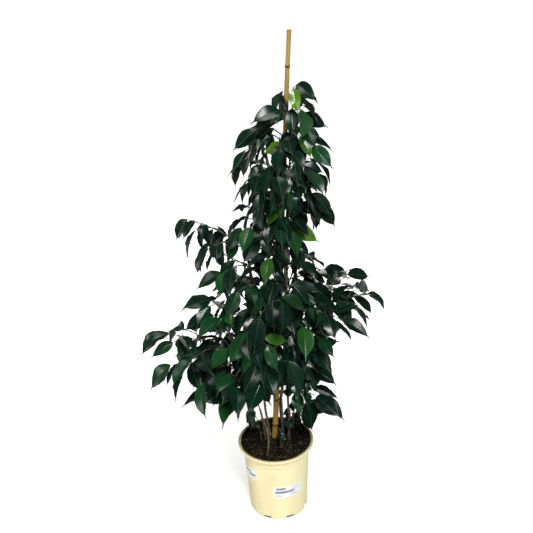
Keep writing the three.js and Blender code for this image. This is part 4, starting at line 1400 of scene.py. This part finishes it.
# Plain bars on the labels: low and high share of the height, left and right share of the length, darkness
LABEL_BARS = {
    "label_front": (
        (0.72, 0.90, 0.10, 0.40, 1.0), (0.40, 0.60, 0.06, 0.72, 0.95), (0.62, 0.68, 0.62, 0.92, 0.6),
        (0.80, 0.86, 0.64, 0.88, 0.45), (0.14, 0.22, 0.08, 0.30, 0.5), (0.16, 0.24, 0.58, 0.82, 0.6),
    ),
    "label_side": (
        (0.62, 0.80, 0.20, 0.62, 0.95), (0.36, 0.56, 0.48, 0.94, 0.95), (0.14, 0.22, 0.62, 0.9, 0.5),
    ),
}


def add_labels():
    """Thin curved sheets of paper on the pot's wall."""
    columns, levels = 40, 8
    step = levels + 1
    for node, first, last, low, high, rise in LABELS:
        points, values = [], []
        for off in (LABEL_GAP, LABEL_GAP + LABEL_PAPER):
            for u in np.linspace(0, 1, columns + 1):
                for v in np.linspace(0, 1, step):
                    z = low + (high - low) * v + rise * u
                    wall = POT["foot"] + (POT["shoulder"] - POT["foot"]) * z / POT["collar_z"]
                    points.append(heading(first + (last - first) * u) * (wall + off) + UP * z)
                    values.append([u, v, 0])
        count = (columns + 1) * step
        faces = []
        for a in (i * step + k for i in range(columns) for k in range(levels)):
            faces.append([a, a + 1, a + step + 1, a + step])
            faces.append([count + a, count + a + step, count + a + step + 1, count + a + 1])
        edge = [*range(0, count - step, step), *range(count - step, count - 1)]
        edge += [*range(count - 1, levels, -step), *range(levels, 0, -1)]
        for a, b in zip(edge, edge[1:] + edge[:1]):
            faces.append([a, b, count + b, count + a])
        mesh = Mesh()
        mesh.add(np.array(points), faces, label=values)
        finish_piece(mesh.build(node + "_paper", label_material(node)), node, sharp=40)


# Brighter leaves as seen from the front, partly paler young leaves and partly painted light on lit leaves: x
# and height on the plane y = 0, and brightness
BRIGHT = (
    (81, 1273, 0.85), (118, 1286, 0.5), (50, 1158, 0.85), (170, 1154, 0.4), (-52, 936, 0.5),
    (25, 978, 0.75), (56, 993, 0.45), (115, 920, 0.85), (89, 907, 0.42), (-14, 814, 0.6),
    (-113, 669, 0.5), (45, 577, 0.66), (-118, 597, 0.45), (-154, 480, 0.45), (-154, 635, 0.4),
    (-137, 781, 0.45), (-164, 508, 0.45), (-212, 413, 0.4),
)
BRIGHT_REACH = 42


def brighten(plant):
    """Makes the foremost leaf near each bright place brighter: partly a paler young leaf, partly painted
    light.
    """
    camera = np.array(CAMERA["place"]) / MM
    leaves = [leaf for grown in plant.values() for leaf in grown["leaves"]]
    for x, z, tone in BRIGHT:
        found = []
        for k, leaf in enumerate(leaves):
            middle = midrib(leaf, 0.45)[0]
            seen = camera + (middle - camera) * (camera[1] / (camera[1] - middle[1]))
            apart = hypot(seen[0] - x, seen[2] - z)
            facing = abs(np.dot(leaf["normal"], unit(camera - middle)))
            if apart < BRIGHT_REACH and "bright" not in leaf:
                found.append((apart + 0.35 * (middle[1] + 100) - 25 * facing, k))
        if found:
            leaves[min(found)[1]]["bright"] = tone


# Floor, backdrop and light

# The floor in millimetres, and in metres how its glow grows behind the plant, so that it ends in white
FLOOR = {"size": 30000, "near": -0.4, "far": 1.5, "glow_near": 0.38, "glow_far": 1.0}


def add_stage():
    shader = Shader("floor_white", roughness=0.9, emission_color=(1, 1, 1))
    place = shader.split(shader.place())
    glow = shader.span(place["Y"], FLOOR["near"], FLOOR["far"], FLOOR["glow_near"], FLOOR["glow_far"])
    from_pot = shader.math("SQRT", shader.plus(*(shader.math("POWER", place[axis], 2) for axis in "XY")))
    beside = shader.span(from_pot, (POT["foot"] - 12) * MM, (POT["foot"] - 1) * MM)
    shader.set(base_color=shader.mix(shader.noise(3, 2), (0.82, 0.82, 0.82), (0.86, 0.86, 0.86)),
               emission_strength=shader.times(glow, beside))
    mesh = Mesh()
    corners = np.array([(-1, -1, 0), (1, -1, 0), (1, 1, 0), (-1, 1, 0)])
    mesh.add(corners * FLOOR["size"], [[0, 1, 2, 3]])
    ground = mesh.build("floor", shader.material, smooth=False)
    ground.visible_glossy = False


# Lamps: name, place, size and power in watts. Each points at the middle of the plant.
LAMPS = (
    ("key", (0.6, -2.2, 2.9), 1.0, 106),
    ("fill", (-2.4, -2.0, 1.3), 1.5, 34),
    ("top", (-0.3, 0.5, 3.6), 1.4, 26),
    ("back", (0.9, 2.8, 1.8), 1.6, 18),
)
AIM = Vector((0, 0, 0.75))

# The room's light: white at the horizon behind the plant, dim behind the viewer and dark above and below
ROOM = {"from": -0.35, "to": 0.75, "before": 0.07, "behind": 1.1, "low": 0.09, "high": 0.3, "above": 0.05}


def add_lights():
    for name, place, size, power in LAMPS:
        data = bpy.data.lights.new(name, "AREA")
        data.shape = "DISK"
        data.size = size
        data.energy = power
        lamp = bpy.data.objects.new(name, data)
        lamp.location = place
        lamp.rotation_euler = (AIM - Vector(place)).to_track_quat("-Z", "Y").to_euler()
        bpy.context.collection.objects.link(lamp)
    bpy.context.scene.view_settings.view_transform = "Standard"


def add_room():
    world = bpy.data.worlds.new("studio")
    bpy.context.scene.world = world
    world.use_nodes = True
    nodes = Nodes(world.node_tree)
    way = nodes.split(nodes.place("Generated"))
    around = nodes.span(way["Y"], ROOM["from"], ROOM["to"], ROOM["before"], ROOM["behind"], "LINEAR")
    rise = nodes.span(nodes.math("ABSOLUTE", way["Z"]), ROOM["low"], ROOM["high"], kind="LINEAR")
    background = world.node_tree.nodes["Background"]
    nodes.feed(background.inputs["Color"], (1, 1, 1))
    nodes.feed(background.inputs["Strength"], nodes.span(rise, 0, 1, around, ROOM["above"], "LINEAR"))


add_camera()
plant = grow_plant()
brighten(plant)
add_pot()
add_soil()
add_soil_bits()
add_cane()
add_labels()
leaf_shader, wood_shader = leaf_material(), wood_material()
for stem_name, grown_stem in plant.items():
    add_stem_pieces(stem_name, grown_stem, leaf_shader, wood_shader)
add_stage()
add_lights()
add_room()
